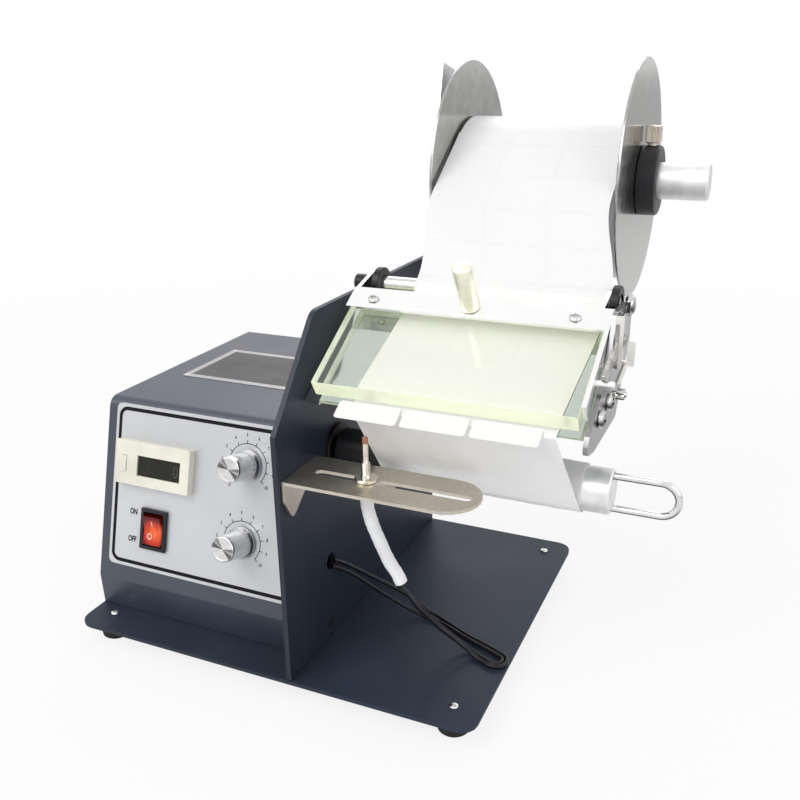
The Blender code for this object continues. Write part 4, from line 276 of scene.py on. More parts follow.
@dataclass(frozen=True)
class Finish:
    """What all finishes share: a name, the record's slot, a colour and one material made on first use."""

    name: str
    slot: Slot
    colour: Triple

    def material(self) -> bpy.types.Material:
        """The finish's material, made the first time that it is asked for.

        Returns:
            The material.
        """
        material = bpy.data.materials.get(self.name)
        if material is None:
            material = bpy.data.materials.new(self.name)
            material.use_nodes = True
            self.dress(NodeBench(material.node_tree))
        return material

    def tone(self, bench: NodeBench, value: Signal, low: float, high: float) -> Signal:
        """The finish's colour, from one factor of it to another as a value rises."""
        return bench.mix(value.spread(0.3, 0.7), shade(self.colour, low), shade(self.colour, high))

    def dress(self, bench: NodeBench) -> None:
        """Lay the finish's nodes out on a bench."""
        raise NotImplementedError


@dataclass(frozen=True)
class PowderCoat(Finish):
    """Dark blue-grey powder coat: fine orange peel, faint clouds and dust in the gloss."""

    roughness: float
    shine: float

    def dress(self, bench: NodeBench) -> None:
        """Colour by slow clouds, gloss by smudges and relief by two grains."""
        cloud = bench.noise(18.0, 4.0)
        relief = bench.noise(950.0, 2.0) * 0.75 + bench.noise(2600.0, 1.0) * 0.25
        rough = cloud.spread(0.25, 0.75, self.roughness - 0.05, self.roughness + 0.07)
        normal = bench.bump(relief, 0.00008, 0.55)
        bench.paint(self.tone(bench, cloud, 0.86, 1.16), rough, normal=normal, specular_ior_level=self.shine)


@dataclass(frozen=True)
class BrushedMetal(Finish):
    """Sheet metal with fine lines along its grain, soft stains and small differences in gloss."""

    roughness: float
    grain: Grain = Grain.ALONG_X
    stain: float = 0.10
    depth: float = 0.000012

    def dress(self, bench: NodeBench) -> None:
        """Lines by stretched noise, stains by slow noise."""
        lines = bench.noise(1.0, 3.0, self.grain.value)
        tone = lines * 0.45 + bench.noise(38.0, 4.0, roughness=0.6) * 0.55
        rough = tone.spread(0.25, 0.75, self.roughness * 0.8, self.roughness * 1.3)
        colour = self.tone(bench, tone, 1.0 - self.stain, 1.0 + self.stain)
        bench.paint(colour, rough, metallic=1.0, normal=bench.bump(lines, self.depth))


@dataclass(frozen=True)
class TurnedMetal(Finish):
    """Lathe-turned metal with fine rings about its own z axis, with optional painted reflections: dark
    bow-tie wedges and a dark reflection line.
    """

    roughness: float
    pitch: float = 0.00022
    depth: float = 0.000002
    anisotropy: float = 0.0
    burst: float = 0.0
    band: float = 0.0
    band_at: float = -0.2
    band_width: float = 0.35

    def dress(self, bench: NodeBench) -> None:
        """Rings on the faces by radius and on the sides by height, under faint smears, painted bow-tie wedges
        and a painted dark reflection line.
        """
        rings = bench.rings(bench.radius() + bench.axis(bench.place(), "Z"), self.pitch)
        smear = bench.noise(160.0, 3.0)
        colour = self.tone(bench, smear, 0.93, 1.06)
        # Painted reflection: dark bow-tie wedges mixed into the base colour.
        if self.burst:
            colour = bench.mix(self.rays(bench) * self.burst, colour, (0.01, 0.01, 0.012))
        # Painted reflection: a dark line where the surface leans, mixed into the base colour.
        if self.band:
            line = bench.band(self.band_at, self.band_width) * self.band
            colour = bench.mix(line, colour, (0.02, 0.02, 0.022))
        rough = smear.spread(0.25, 0.75, self.roughness * 0.85, self.roughness * 1.2)
        normal = bench.bump(rings, self.depth)
        bench.paint(colour, rough, metallic=1.0, normal=normal, anisotropic=self.anisotropy)

    def rays(self, bench: NodeBench) -> Signal:
        """Painted bow-tie reflection: two dark wedges and finer dark rays that run out from the axis, on the
        faces only.
        """
        turn = bench.math("ARCTAN2", bench.axis(bench.place(), "Y"), bench.axis(bench.place(), "X"))
        wedge = bench.math("SINE", turn * 2 + 2.4) * 0.8 + bench.math("SINE", turn * 9 + 0.8) * 0.3
        face = bench.axis(bench.node("TexCoord", output="Normal"), "Z").spread(0.6, 0.9, 0.10, 1.0)
        return wedge.spread(0.0, 0.95) * face


@dataclass(frozen=True)
class Moulded(Finish):
    """Moulded plastic or rubber with a fine spark grain."""

    roughness: float
    grain: float = 1400.0
    depth: float = 0.00003
    coat: float = 0.0
    subsurface: float = 0.0
    shine: float = 0.5

    def dress(self, bench: NodeBench) -> None:
        """Grain in the relief, slow clouds in the colour and gloss."""
        cloud = bench.noise(55.0, 3.0)
        bench.paint(
            self.tone(bench, cloud, 0.92, 1.07),
            cloud.spread(0.25, 0.75, self.roughness * 0.9, self.roughness * 1.15),
            normal=bench.bump(bench.noise(self.grain, 2.0), self.depth, 0.6),
            coat_weight=self.coat,
            subsurface_weight=self.subsurface,
            subsurface_scale=0.001,
            specular_ior_level=self.shine,
        )


@dataclass(frozen=True)
class PanelFilm(Finish):
    """Satin silver plate behind the printing, grained almost too finely to see."""

    roughness: float

    def dress(self, bench: NodeBench) -> None:
        """Fine grain and slow sheen clouds on a half-metal sheet."""
        lines = bench.noise(2600.0, 2.0)
        cloud = bench.noise(22.0, 3.0)
        rough = cloud.spread(0.25, 0.75, self.roughness - 0.04, self.roughness + 0.05)
        colour = self.tone(bench, lines * 0.5 + cloud * 0.5, 0.95, 1.05)
        bench.paint(colour, rough, metallic=0.35, normal=bench.bump(lines, 0.000006))


@dataclass(frozen=True)
class PaperStock(Finish):
    """White label stock or its backing: fine fibres and a slight cockle."""

    roughness: float
    cockle: float = 0.00003
    sheen: float = 0.0

    def dress(self, bench: NodeBench) -> None:
        """Fibres in the colour and relief, a slow cockle in the relief."""
        fibre = bench.noise(2400.0, 3.0)
        wave = bench.noise(70.0, 2.0)
        rough = wave.spread(0.25, 0.75, self.roughness - 0.06, self.roughness + 0.06)
        normal = bench.bump(fibre * 0.1 + wave * 0.9, self.cockle * 8, 0.35)
        colour = self.tone(bench, fibre, 0.975, 1.01)
        bench.paint(colour, rough, normal=normal, coat_weight=self.sheen, coat_roughness=0.3)


@dataclass(frozen=True)
class WoundEdge(Finish):
    """The side of a paper roll, where the edges of its turns show as rings about the own z axis."""

    pitch: float = 0.00034

    def dress(self, bench: NodeBench) -> None:
        """Rings by radius, broken by noise."""
        rings = bench.rings(bench.radius() + bench.noise(240.0, 2.0) * 0.0002, self.pitch)
        colour = bench.mix(rings, shade(self.colour, 0.86), self.colour)
        bench.paint(colour, rings.spread(0.0, 1.0, 0.7, 0.55), normal=bench.bump(rings, 0.00006))


@dataclass(frozen=True)
class ClearBlock(Finish):
    """Cast acrylic with a yellow-green tint that gathers along the block."""

    density: float
    ior: float = 1.49

    def dress(self, bench: NodeBench) -> None:
        """Clear shell over a tinted body, with light let through to what lies below."""
        gloss = bench.noise(90.0, 3.0).spread(0.35, 0.7, 0.0, 0.03)
        shell = bench.surface((1.0, 1.0, 0.985), gloss, transmission_weight=1.0, ior=self.ior)
        through = bench.node("BsdfTransparent", None, {"Color": (0.99, 0.995, 0.97)})
        skip = bench.math("MAXIMUM", bench.ray("Shadow"), bench.ray("Diffuse"))
        mixed = bench.node("MixShader", None, {0: skip, 1: shell, 2: through})
        body = bench.node("VolumeAbsorption", None, {"Color": self.colour, "Density": self.density})
        bench.put("OutputMaterial", None, {"Surface": mixed, "Volume": body})


@dataclass(frozen=True)
class EdgeGlow(Finish):
    """Cut edge of the acrylic, with a painted yellow-green glow that stands in for the light the block
    gathers.
    """

    def dress(self, bench: NodeBench) -> None:
        """Partly clear, with a painted yellow-green glow by emission and fine saw lines."""
        lines = bench.noise(1.0, 2.0, (60.0, 900.0, 260.0))
        bench.paint(
            self.tone(bench, lines, 0.94, 1.06),
            lines.spread(0.3, 0.7, 0.16, 0.26),
            normal=bench.bump(lines, 0.000004),
            transmission_weight=0.55,
            ior=1.49,
            emission_color=self.colour,
            emission_strength=0.24,
        )


@dataclass(frozen=True)
class GlowPlastic(Finish):
    """Clear-coloured moulding with a painted glow round a heart, paler and emissive there and darker towards
    its ends.
    """

    glow: Triple
    heart: Triple
    reach: float

    def dress(self, bench: NodeBench) -> None:
        """Painted glow: paler and emissive near its heart, darker towards its ends, under a hard gloss."""
        away = bench.vector("DISTANCE", bench.place(), self.heart, output="Value")
        streak = bench.noise(420.0, 3.0, (1.0, 0.35, 1.0))
        painted_glow_share = away.spread(0.0, self.reach, 1.0, 0.0) * streak.spread(0.3, 0.75, 0.4, 1.0)
        ends = away.spread(self.reach * 0.7, self.reach * 1.15)
        deep = bench.mix(ends, self.colour, shade(self.colour, 0.18))
        bench.paint(
            bench.mix(painted_glow_share, deep, self.glow),
            streak.spread(0.3, 0.7, 0.14, 0.26),
            coat_weight=0.12,
            coat_roughness=0.08,
            specular_ior_level=0.25,
            subsurface_weight=0.15,
            subsurface_scale=0.002,
            emission_color=bench.mix(painted_glow_share, (0.0, 0.0, 0.0), shade(self.glow, 0.5)),
            emission_strength=0.5,
        )


@dataclass(frozen=True)
class DisplayGlass(Finish):
    """Dark olive display under a clear window."""

    def dress(self, bench: NodeBench) -> None:
        """Slow clouds and a very fine mesh under a glossy coat."""
        colour = self.tone(bench, bench.noise(120.0, 2.0), 0.8, 1.25)
        bench.paint(colour, bench.noise(5200.0, 1.0).spread(0.3, 0.7, 0.3, 0.4), specular_ior_level=0.25)


@dataclass(frozen=True)
class CircuitBoard(Finish):
    """Green solder resist with paler copper runs under it."""

    def dress(self, bench: NodeBench) -> None:
        """Straight runs by a brick pattern in plan."""
        feeds = {"Vector": bench.place(), "Scale": 260.0, "Mortar Size": 0.08}
        feeds |= {"Color1": self.colour, "Color2": shade(self.colour, 0.85)}
        feeds["Mortar"] = shade(self.colour, 2.0)
        bench.paint(bench.node("TexBrick", None, feeds), bench.noise(90.0, 2.0).spread(0.3, 0.7, 0.35, 0.5))


class Finishes:
    """Every finish on the machine."""

    # One charcoal coat in three copies: the side plate's is darker as painted shade, and the base's is a
    # little darker with less shine as a painted darker reflection.
    CASE_PAINT = PowderCoat("case_paint", Slot.PAINT, (0.029, 0.040, 0.067), 0.38, 0.85)
    PLATE_PAINT = PowderCoat("plate_paint_shaded", Slot.PAINT, (0.016, 0.023, 0.040), 0.42, 0.36)
    BASE_PAINT = PowderCoat("base_paint_shaded", Slot.PAINT, (0.026, 0.035, 0.057), 0.44, 0.22)
    SHEET_STEEL = BrushedMetal(
        "sheet_steel", Slot.STAINLESS, (0.54, 0.60, 0.57), 0.09, stain=0.06, depth=0.000004
    )
    COVER_STEEL = BrushedMetal(
        "cover_steel", Slot.STAINLESS, (0.95, 0.95, 0.945), 0.22, stain=0.02, depth=0.000004
    )
    UPRIGHT_STEEL = BrushedMetal("upright_steel", Slot.STAINLESS, (0.60, 0.60, 0.60), 0.22, Grain.ALONG_Z)
    # The discs' steel is darkened as a painted dark reflection.
    DISC_STEEL = TurnedMetal("disc_steel", Slot.STAINLESS, (0.44, 0.435, 0.425), 0.19, 0.0009, 0.0000006)
    # The handle's cream tint is a painted reflection.
    HANDLE_STEEL = TurnedMetal("handle_steel", Slot.STAINLESS, (0.92, 0.90, 0.77), 0.42, 0.0004)
    BRIGHT_STEEL = TurnedMetal("bright_steel", Slot.STAINLESS, (0.70, 0.70, 0.69), 0.13, 0.0004)
    WIRE_STEEL = BrushedMetal("wire_steel", Slot.STAINLESS, (0.72, 0.72, 0.72), 0.10, Grain.EVEN, 0.04)
    # Clip and chrome below paint a dark reflection line into their colour.
    CLIP_STEEL = TurnedMetal(
        "clip_steel", Slot.STAINLESS, (0.78, 0.78, 0.78), 0.09, depth=0.0, band=1.0,
        band_at=-0.50, band_width=0.42
    )
    CHROME = TurnedMetal(
        "chrome", Slot.STAINLESS, (0.66, 0.65, 0.64), 0.10, 0.0004, 0.000001, band=0.95,
        band_at=-0.20, band_width=0.5
    )
    GEAR_STEEL = BrushedMetal(
        "gear_steel", Slot.NICKEL, (0.84, 0.83, 0.79), 0.38, Grain.EVEN, 0.08, 0.000004
    )
    BRACKET_STEEL = BrushedMetal(
        "bracket_steel", Slot.STAINLESS, (0.31, 0.305, 0.31), 0.24, Grain.ALONG_Z, 0.08
    )
    LATCH_STEEL = BrushedMetal(
        "latch_steel", Slot.NICKEL, (0.42, 0.405, 0.39), 0.20, Grain.EVEN, 0.30, 0.000004
    )
    # The rod paints a faint dark reflection line into its colour.
    ROD_ALUMINIUM = TurnedMetal(
        "rod_aluminium", Slot.ALUMINIUM, (0.85, 0.85, 0.86), 0.40, 0.00035, anisotropy=0.4,
        band=0.14, band_at=-0.45, band_width=0.4
    )
    # The knob paints dark bow-tie reflections into its colour.
    KNOB_ALUMINIUM = TurnedMetal(
        "knob_aluminium", Slot.ALUMINIUM, (0.78, 0.78, 0.79), 0.20, 0.00018, anisotropy=0.8, burst=0.85
    )
    NICKEL_PLATE = BrushedMetal(
        "nickel_plate", Slot.NICKEL, (0.60, 0.55, 0.48), 0.36, Grain.EVEN, 0.10, 0.000004
    )
    NICKEL_TURNED = TurnedMetal("nickel_turned", Slot.NICKEL, (0.74, 0.69, 0.60), 0.20)
    # The bearing's bronze is darkened almost to black as painted shade.
    BRONZE = TurnedMetal("bearing_bronze", Slot.BRONZE, (0.040, 0.034, 0.028), 0.5, depth=0.00001)
    RUBBER = Moulded("rubber", Slot.RUBBER, (0.018, 0.018, 0.019), 0.75, 900.0)
    BLACK = Moulded("black_moulding", Slot.BLACK, (0.010, 0.010, 0.013), 0.38, shine=0.35)
    CREAM = Moulded("cream_moulding", Slot.CREAM, (0.82, 0.80, 0.70), 0.42, depth=0.00002)
    PANEL = PanelFilm("panel_plate", Slot.PANEL, (0.63, 0.64, 0.66), 0.38)
    INK = Moulded("panel_ink", Slot.PANEL, (0.006, 0.006, 0.009), 0.5, 2000.0, 0.00001, shine=0.15)
    PLATE_INK = Moulded("plate_ink", Slot.PAINT, (0.030, 0.027, 0.030), 0.40, 2000.0, 0.00001)
    PLATE_EDGE = BrushedMetal("plate_edge", Slot.PAINT, (0.42, 0.41, 0.42), 0.34, Grain.ALONG_X)
    GLASS = DisplayGlass("display_glass", Slot.CREAM, (0.016, 0.0158, 0.0115))
    SEGMENT = Moulded("display_segment", Slot.CREAM, (0.060, 0.060, 0.050), 0.4, 2000.0, 0.00001)
    # The rocker is no lamp: its glow round the heart is painted light.
    ROCKER_RED = GlowPlastic(
        "rocker_red", Slot.RED, (0.50, 0.014, 0.006), (1.0, 0.20, 0.05), (0.0012, -0.0012, 0.0018), 0.0078
    )
    SWITCH_MARK = Moulded("switch_mark", Slot.RED, (0.90, 0.50, 0.42), 0.35, 2000.0, 0.00001)
    TIP_RESIN = Moulded("tip_resin", Slot.NICKEL, (0.36, 0.14, 0.07), 0.3, 900.0, 0.00001, 0.4)
    ACRYLIC = ClearBlock("clear_acrylic_block", Slot.ACRYLIC, (0.86, 0.96, 0.45), 4.0)
    # The acrylic's edge glow is painted light, by emission.
    ACRYLIC_EDGE = EdgeGlow("clear_acrylic_edge", Slot.ACRYLIC, (0.92, 0.97, 0.74))
    LABELS = PaperStock("label_face", Slot.LABELS, (0.93, 0.93, 0.93), 0.42, 0.00002, 0.25)
    LINER = PaperStock("backing_paper", Slot.LABELS, (0.920, 0.920, 0.917), 0.5)
    ROLL_EDGE = WoundEdge("roll_edge", Slot.LABELS, (0.90, 0.895, 0.88))
    CARD = PaperStock("card_tube", Slot.CARD, (0.50, 0.36, 0.22), 0.85, 0.00006)
    MOTOR = BrushedMetal("motor_casing", Slot.MOTOR, (0.36, 0.37, 0.39), 0.38, Grain.EVEN)
    BOARD = CircuitBoard("board", Slot.BOARD, (0.02, 0.16, 0.06))
    SLEEVE = Moulded("shrink_sleeve", Slot.SLEEVE, (0.86, 0.87, 0.89), 0.46, 700.0, 0.00005, 0.1, 0.1)
    LEAD = Moulded("lead_jacket", Slot.LEAD, (0.010, 0.010, 0.014), 0.30, 600.0, 0.00002, shine=0.3)


def blackened(end: float) -> tuple[Finish, FaceTest]:
    """The black finish as painted shade on the faces below a height."""
    return Finishes.BLACK, lambda face: face.calc_center_median().z < end


WOUND_ENDS = (Finishes.ROLL_EDGE, lambda face: abs(face.normal.z) > 0.8)


def arc(centre: Pair, radius: float, start: float, end: float, steps: int) -> list[Pair]:
    """Points along an arc between two angles in radians, both ends included."""
    turns = [start + (end - start) * step / steps for step in range(steps + 1)]
    return [(centre[0] + radius * math.cos(turn), centre[1] + radius * math.sin(turn)) for turn in turns]


def circle(centre: Pair, radius: float, sides: int) -> list[Pair]:
    """Corners of a regular outline round a centre."""
    return arc(centre, radius, 0.0, TURN, sides)[:-1]


def knurled(even: float, odd: float, grips: int) -> list[Pair]:
    """Outline of a knurled head, whose points lie at two radii in turn."""
    turns = [math.pi * step / grips for step in range(grips * 2)]
    reach = [odd if step % 2 else even for step in range(grips * 2)]
    return [(away * math.cos(turn), away * math.sin(turn)) for away, turn in zip(reach, turns)]


def drum(bore: float, radius: float, low: float, high: float, rim: float) -> list[Pair]:
    """Profile of a ring whose outer edges are broken equally."""
    foot = [(bore, low), (radius - rim, low), (radius, low + rim)]
    return [*foot, (radius, high - rim), (radius - rim, high), (bore, high)]


def rounded(corners: Sequence[Triple], steps: int = 8) -> list[Pair]:
    """Closed outline through corners, with an arc where a corner has a radius.

    Args:
        corners: Each corner and its radius.
        steps: How many straight pieces an arc has.

    Returns:
        The outline's points.
    """
    outline: list[Pair] = []
    for index, (a, b, radius) in enumerate(corners):
        here = Vector((a, b))
        if radius == 0:
            outline.append((a, b))
            continue
        before = (Vector(corners[index - 1][:2]) - here).normalized()
        after = (Vector(corners[(index + 1) % len(corners)][:2]) - here).normalized()
        half = before.angle(after) / 2
        centre = here + (before + after).normalized() * (radius / math.sin(half))
        start = here + before * (radius / math.tan(half)) - centre
        end = here + after * (radius / math.tan(half)) - centre
        first = math.atan2(start.y, start.x)
        outline += arc((centre.x, centre.y), radius, first, first - start.angle_signed(end), steps)
    return outline


def rectangle(low: Pair, high: Pair, radius: float = 0.0, steps: int = 6) -> list[Pair]:
    """Outline of a rectangle with equal corners."""
    corners = [(low[0], low[1]), (high[0], low[1]), (high[0], high[1]), (low[0], high[1])]
    return rounded([(a, b, radius) for a, b in corners], steps)


def centred(width: float, height: float, radius: float = 0.0) -> list[Pair]:
    """Outline of a rectangle round the origin, from half its width and height."""
    return rectangle((-width, -height), (width, height), radius)


def inset(low: Sequence[float], high: Sequence[float], margin: float, radius: float = 0.0) -> list[Pair]:
    """Outline of a rectangle inside two corners, by a margin."""
    return rectangle((low[0] + margin, low[1] + margin), (high[0] - margin, high[1] - margin), radius)


def lathe(profile: Sequence[Pair], sides: int = 64, ring: bool = False) -> Mesh:
    """Turn a profile of (radius, height) points about z.

    Args:
        profile: The points, from one end of the axis to the other.
        sides: How many sides the round has.
        ring: Whether the profile closes on itself and leaves the axis open.

    Returns:
        The turned shape.
    """
    shape = bmesh.new()
    verts = [shape.verts.new((radius, 0.0, height)) for radius, height in profile]
    pairs = list(zip(verts, verts[1:]))
    if ring:
        pairs.append((verts[-1], verts[0]))
    geom = verts + [shape.edges.new(pair) for pair in pairs]
    bmesh.ops.spin(shape, geom=geom, cent=(0, 0, 0), axis=(0, 0, 1), angle=TURN, steps=sides, use_merge=True)
    bmesh.ops.remove_doubles(shape, verts=shape.verts, dist=WELD_DISTANCE)
    bmesh.ops.recalc_face_normals(shape, faces=shape.faces)
    return shape


def prism(outline: Sequence[Pair], low: float, high: float) -> Mesh:
    """Raise an outline from one height to another along z.

    Args:
        outline: The outline's points.
        low: Where it starts.
        high: Where it ends.

    Returns:
        The raised shape.
    """
    shape = bmesh.new()
    face = shape.faces.new([shape.verts.new((a, b, low)) for a, b in outline])
    grown = bmesh.ops.extrude_face_region(shape, geom=[face])
    tops = [part for part in grown["geom"] if isinstance(part, bmesh.types.BMVert)]
    bmesh.ops.translate(shape, verts=tops, vec=(0.0, 0.0, high - low))
    bmesh.ops.recalc_face_normals(shape, faces=shape.faces)
    return shape


def skin(shape: Mesh, rings: Sequence[Sequence[bmesh.types.BMVert]]) -> None:
    """Join rings of corners, one after another, with four-sided faces.

    Args:
        shape: The shape that has the corners.
        rings: The rings, all with the same count.
    """
    for first, second in zip(rings, rings[1:]):
        for index, _ in enumerate(first):
            after = (index + 1) % len(first)
            shape.faces.new((first[index], first[after], second[after], second[index]))


def bar(shape: Mesh, rings: Sequence[Sequence[bmesh.types.BMVert]]) -> Mesh:
    """Close rings of corners to a bar with filled ends, and hand its shape back."""
    skin(shape, rings)
    shape.faces.new(list(reversed(rings[0])))
    shape.faces.new(rings[-1])
    bmesh.ops.recalc_face_normals(shape, faces=shape.faces)
    return shape


def tube(points: Sequence[Sequence[float]], radius: float | Sequence[float], sides: int) -> Mesh:
    """Round bar along a path, with filled ends.

    Args:
        points: The path.
        radius: One radius, or one for each point.
        sides: How many sides the round has.

    Returns:
        The bar.
    """
    places = [Vector(point) for point in points]
    radii = radius if isinstance(radius, list) else [radius] * len(places)
    turns = [TURN * step / sides for step in range(sides)]
    shape = bmesh.new()
    rings = []
    side = None
    for index, here in enumerate(places):
        along = (places[min(index + 1, len(places) - 1)] - places[max(index - 1, 0)]).normalized()
        if side is None:
            side = along.orthogonal().normalized()
        side = (side - along * side.dot(along)).normalized()
        up = along.cross(side)
        spots = [here + (side * math.cos(turn) + up * math.sin(turn)) * radii[index] for turn in turns]
        rings.append([shape.verts.new(spot) for spot in spots])
    return bar(shape, rings)


def strip(points: Sequence[Pair], width: float, low: float, high: float) -> Mesh:
    """Flat line of one width along a path in the x-y plane.

    Args:
        points: The path.
        width: How wide the line is.
        low: Where it starts in height.
        high: Where it ends in height.

    Returns:
        The line's shape.
    """
    places = [Vector(point) for point in points]
    shape = bmesh.new()
    rows = []
    for index, here in enumerate(places):
        before = (here - places[index - 1]).normalized() if index else None
        after = (places[index + 1] - here).normalized() if index + 1 < len(places) else None
        along = ((before or after) + (after or before)).normalized()
        across = Vector((-along.y, along.x)) * (width / 2 / max(along.dot(after or before), 0.5))
        left, right = here + across, here - across
        ends = ((left, low), (right, low), (right, high), (left, high))
        rows.append([shape.verts.new((*spot, height)) for spot, height in ends])
    return bar(shape, rows)


def moved(shape: Mesh, place: Matrix) -> Mesh:
    """Move a shape's points and hand it back."""
    bmesh.ops.transform(shape, matrix=place, verts=shape.verts)
    return shape


def merged(shapes: Iterable[Mesh]) -> Mesh:
    """Put several shapes into one and free them."""
    whole = bmesh.new()
    for shape in shapes:
        carrier = bpy.data.meshes.new("carrier")
        shape.to_mesh(carrier)
        shape.free()
        whole.from_mesh(carrier)
        bpy.data.meshes.remove(carrier)
    return whole


def placed(name: str, data: bpy.types.ID) -> bpy.types.Object:
    """Put an object in the scene."""
    item = bpy.data.objects.new(name, data)
    bpy.context.scene.collection.objects.link(item)
    return item


def solid(name: str, shape: Mesh, finishes: Iterable[Finish]) -> bpy.types.Object:
    """Turn a shape into an object with smooth rounds and sharp edges.

    Args:
        name: The object's name.
        shape: Its shape.
        finishes: Its finishes.

    Returns:
        The object.
    """
    mesh = bpy.data.meshes.new(name)
    shape.to_mesh(mesh)
    shape.free()
    mesh.shade_smooth()
    mesh.set_sharp_from_angle(angle=SMOOTH_ANGLE)
    for finish in finishes:
        mesh.materials.append(finish.material())
    return placed(name, mesh)


def evaluated(item: bpy.types.Object) -> Mesh:
    """The shape of an object with its modifiers or its letters worked out."""
    mesh = bpy.data.meshes.new_from_object(item.evaluated_get(bpy.context.evaluated_depsgraph_get()))
    shape = bmesh.new()
    shape.from_mesh(mesh)
    bpy.data.meshes.remove(mesh)
    return shape


def lettering(words: str, height: float, thickness: float, weight: float) -> Mesh:
    """Plain raised letters or figures, centred on the origin, in the x-y plane.

    Args:
        words: What they say.
        height: How tall a capital is.
        thickness: How far they stand up.
        weight: How much each stroke grows on either side.

    Returns:
        The letters' shape.
    """
    curve = bpy.data.curves.new("lettering", "FONT")
    curve.body = words
    curve.size = height / 0.70
    curve.align_x = curve.align_y = "CENTER"
    curve.extrude = thickness / 2
    curve.offset = weight
    curve.resolution_u = 3
    item = placed("lettering", curve)
    shape = evaluated(item)
    bpy.data.objects.remove(item, do_unlink=True)
    bpy.data.curves.remove(curve)
    bmesh.ops.remove_doubles(shape, verts=shape.verts, dist=WELD_DISTANCE)
    bmesh.ops.translate(shape, verts=shape.verts, vec=(0.0, 0.0, thickness / 2))
    return shape


def smooth_route(points: Sequence[Triple], count: int, fine: int = 24) -> list[Vector]:
    """Even points on a smooth curve through a route's own points.

    Args:
        points: The route.
        count: How many points are wanted.
        fine: How many steps each stretch is first cut into.

    Returns:
        The even points.
    """
    places = [Vector(point) for point in points]
    places = [2 * places[0] - places[1], *places, 2 * places[-1] - places[-2]]
    curve = []
    for index in range(1, len(places) - 2):
        p0, p1, p2, p3 = places[index - 1:index + 3]
        for t in (step / fine for step in range(fine)):
            square = (2 * p0 - 5 * p1 + 4 * p2 - p3) * t**2
            cube = (3 * p1 - p0 - 3 * p2 + p3) * t**3
            curve.append(0.5 * (2 * p1 + (p2 - p0) * t + square + cube))
    curve.append(places[-2])
    travelled = [0.0]
    for before, after in zip(curve, curve[1:]):
        travelled.append(travelled[-1] + (after - before).length)
    even = []
    index = 0
    for number in range(count):
        goal = travelled[-1] * number / (count - 1)
        while index < len(curve) - 2 and travelled[index + 1] < goal:
            index += 1
        share = (goal - travelled[index]) / (travelled[index + 1] - travelled[index])
        even.append(curve[index].lerp(curve[index + 1], min(max(share, 0.0), 1.0)))
    return even


def path_length(points: Sequence[Vector]) -> float:
    """How long a path is."""
    return sum((after - before).length for before, after in zip(points, points[1:]))


@dataclass(frozen=True)
class Places:
    """The frames that the machine is laid out in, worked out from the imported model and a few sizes."""

    bend: Pair = (0.0200, 0.0177)
    case_top: Pair = (0.0454, 0.1106)
    peel: Pair = (0.0256, 0.1329)
    tilt: float = math.radians(30.8)
    pivot_up: float = 0.0740
    pivot_off: float = 0.0027

    def station(self) -> Matrix:
        """The station frame's place in the model."""
        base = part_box("base_plate")
        return Matrix.Translation((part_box("side_plate")[1].x, base[0].y, base[1].z))

    def panel(self) -> Matrix:
        """The sloping front: x across, y up the slope and z out of it."""
        slope = math.atan2(self.case_top[0] - self.bend[0], self.case_top[1] - self.bend[1])
        return self.upright(0.0, *self.bend) @ Matrix.Rotation(QUARTER - slope, 4, "X")

    def table(self) -> Matrix:
        """The peel table's face: x across, y up the slope and z off it."""
        return self.upright(0.0, *self.peel) @ Matrix.Rotation(self.tilt, 4, "X")

    def pivot(self) -> Vector:
        """The guide rod's axis in the station frame."""
        run, rise = math.cos(self.tilt), math.sin(self.tilt)
        y = self.peel[0] + self.pivot_up * run - self.pivot_off * rise
        return Vector((0.0, y, self.peel[1] + self.pivot_up * rise + self.pivot_off * run))

    def along_x(self, x: float, y: float, z: float) -> Matrix:
        """A place in the station whose own z axis points to the right."""
        return self.upright(x, y, z) @ Matrix.Rotation(QUARTER, 4, "Y")

    def upright(self, x: float, y: float, z: float) -> Matrix:
        """A place in the station whose own z axis points up."""
        return self.station() @ Matrix.Translation((x, y, z))


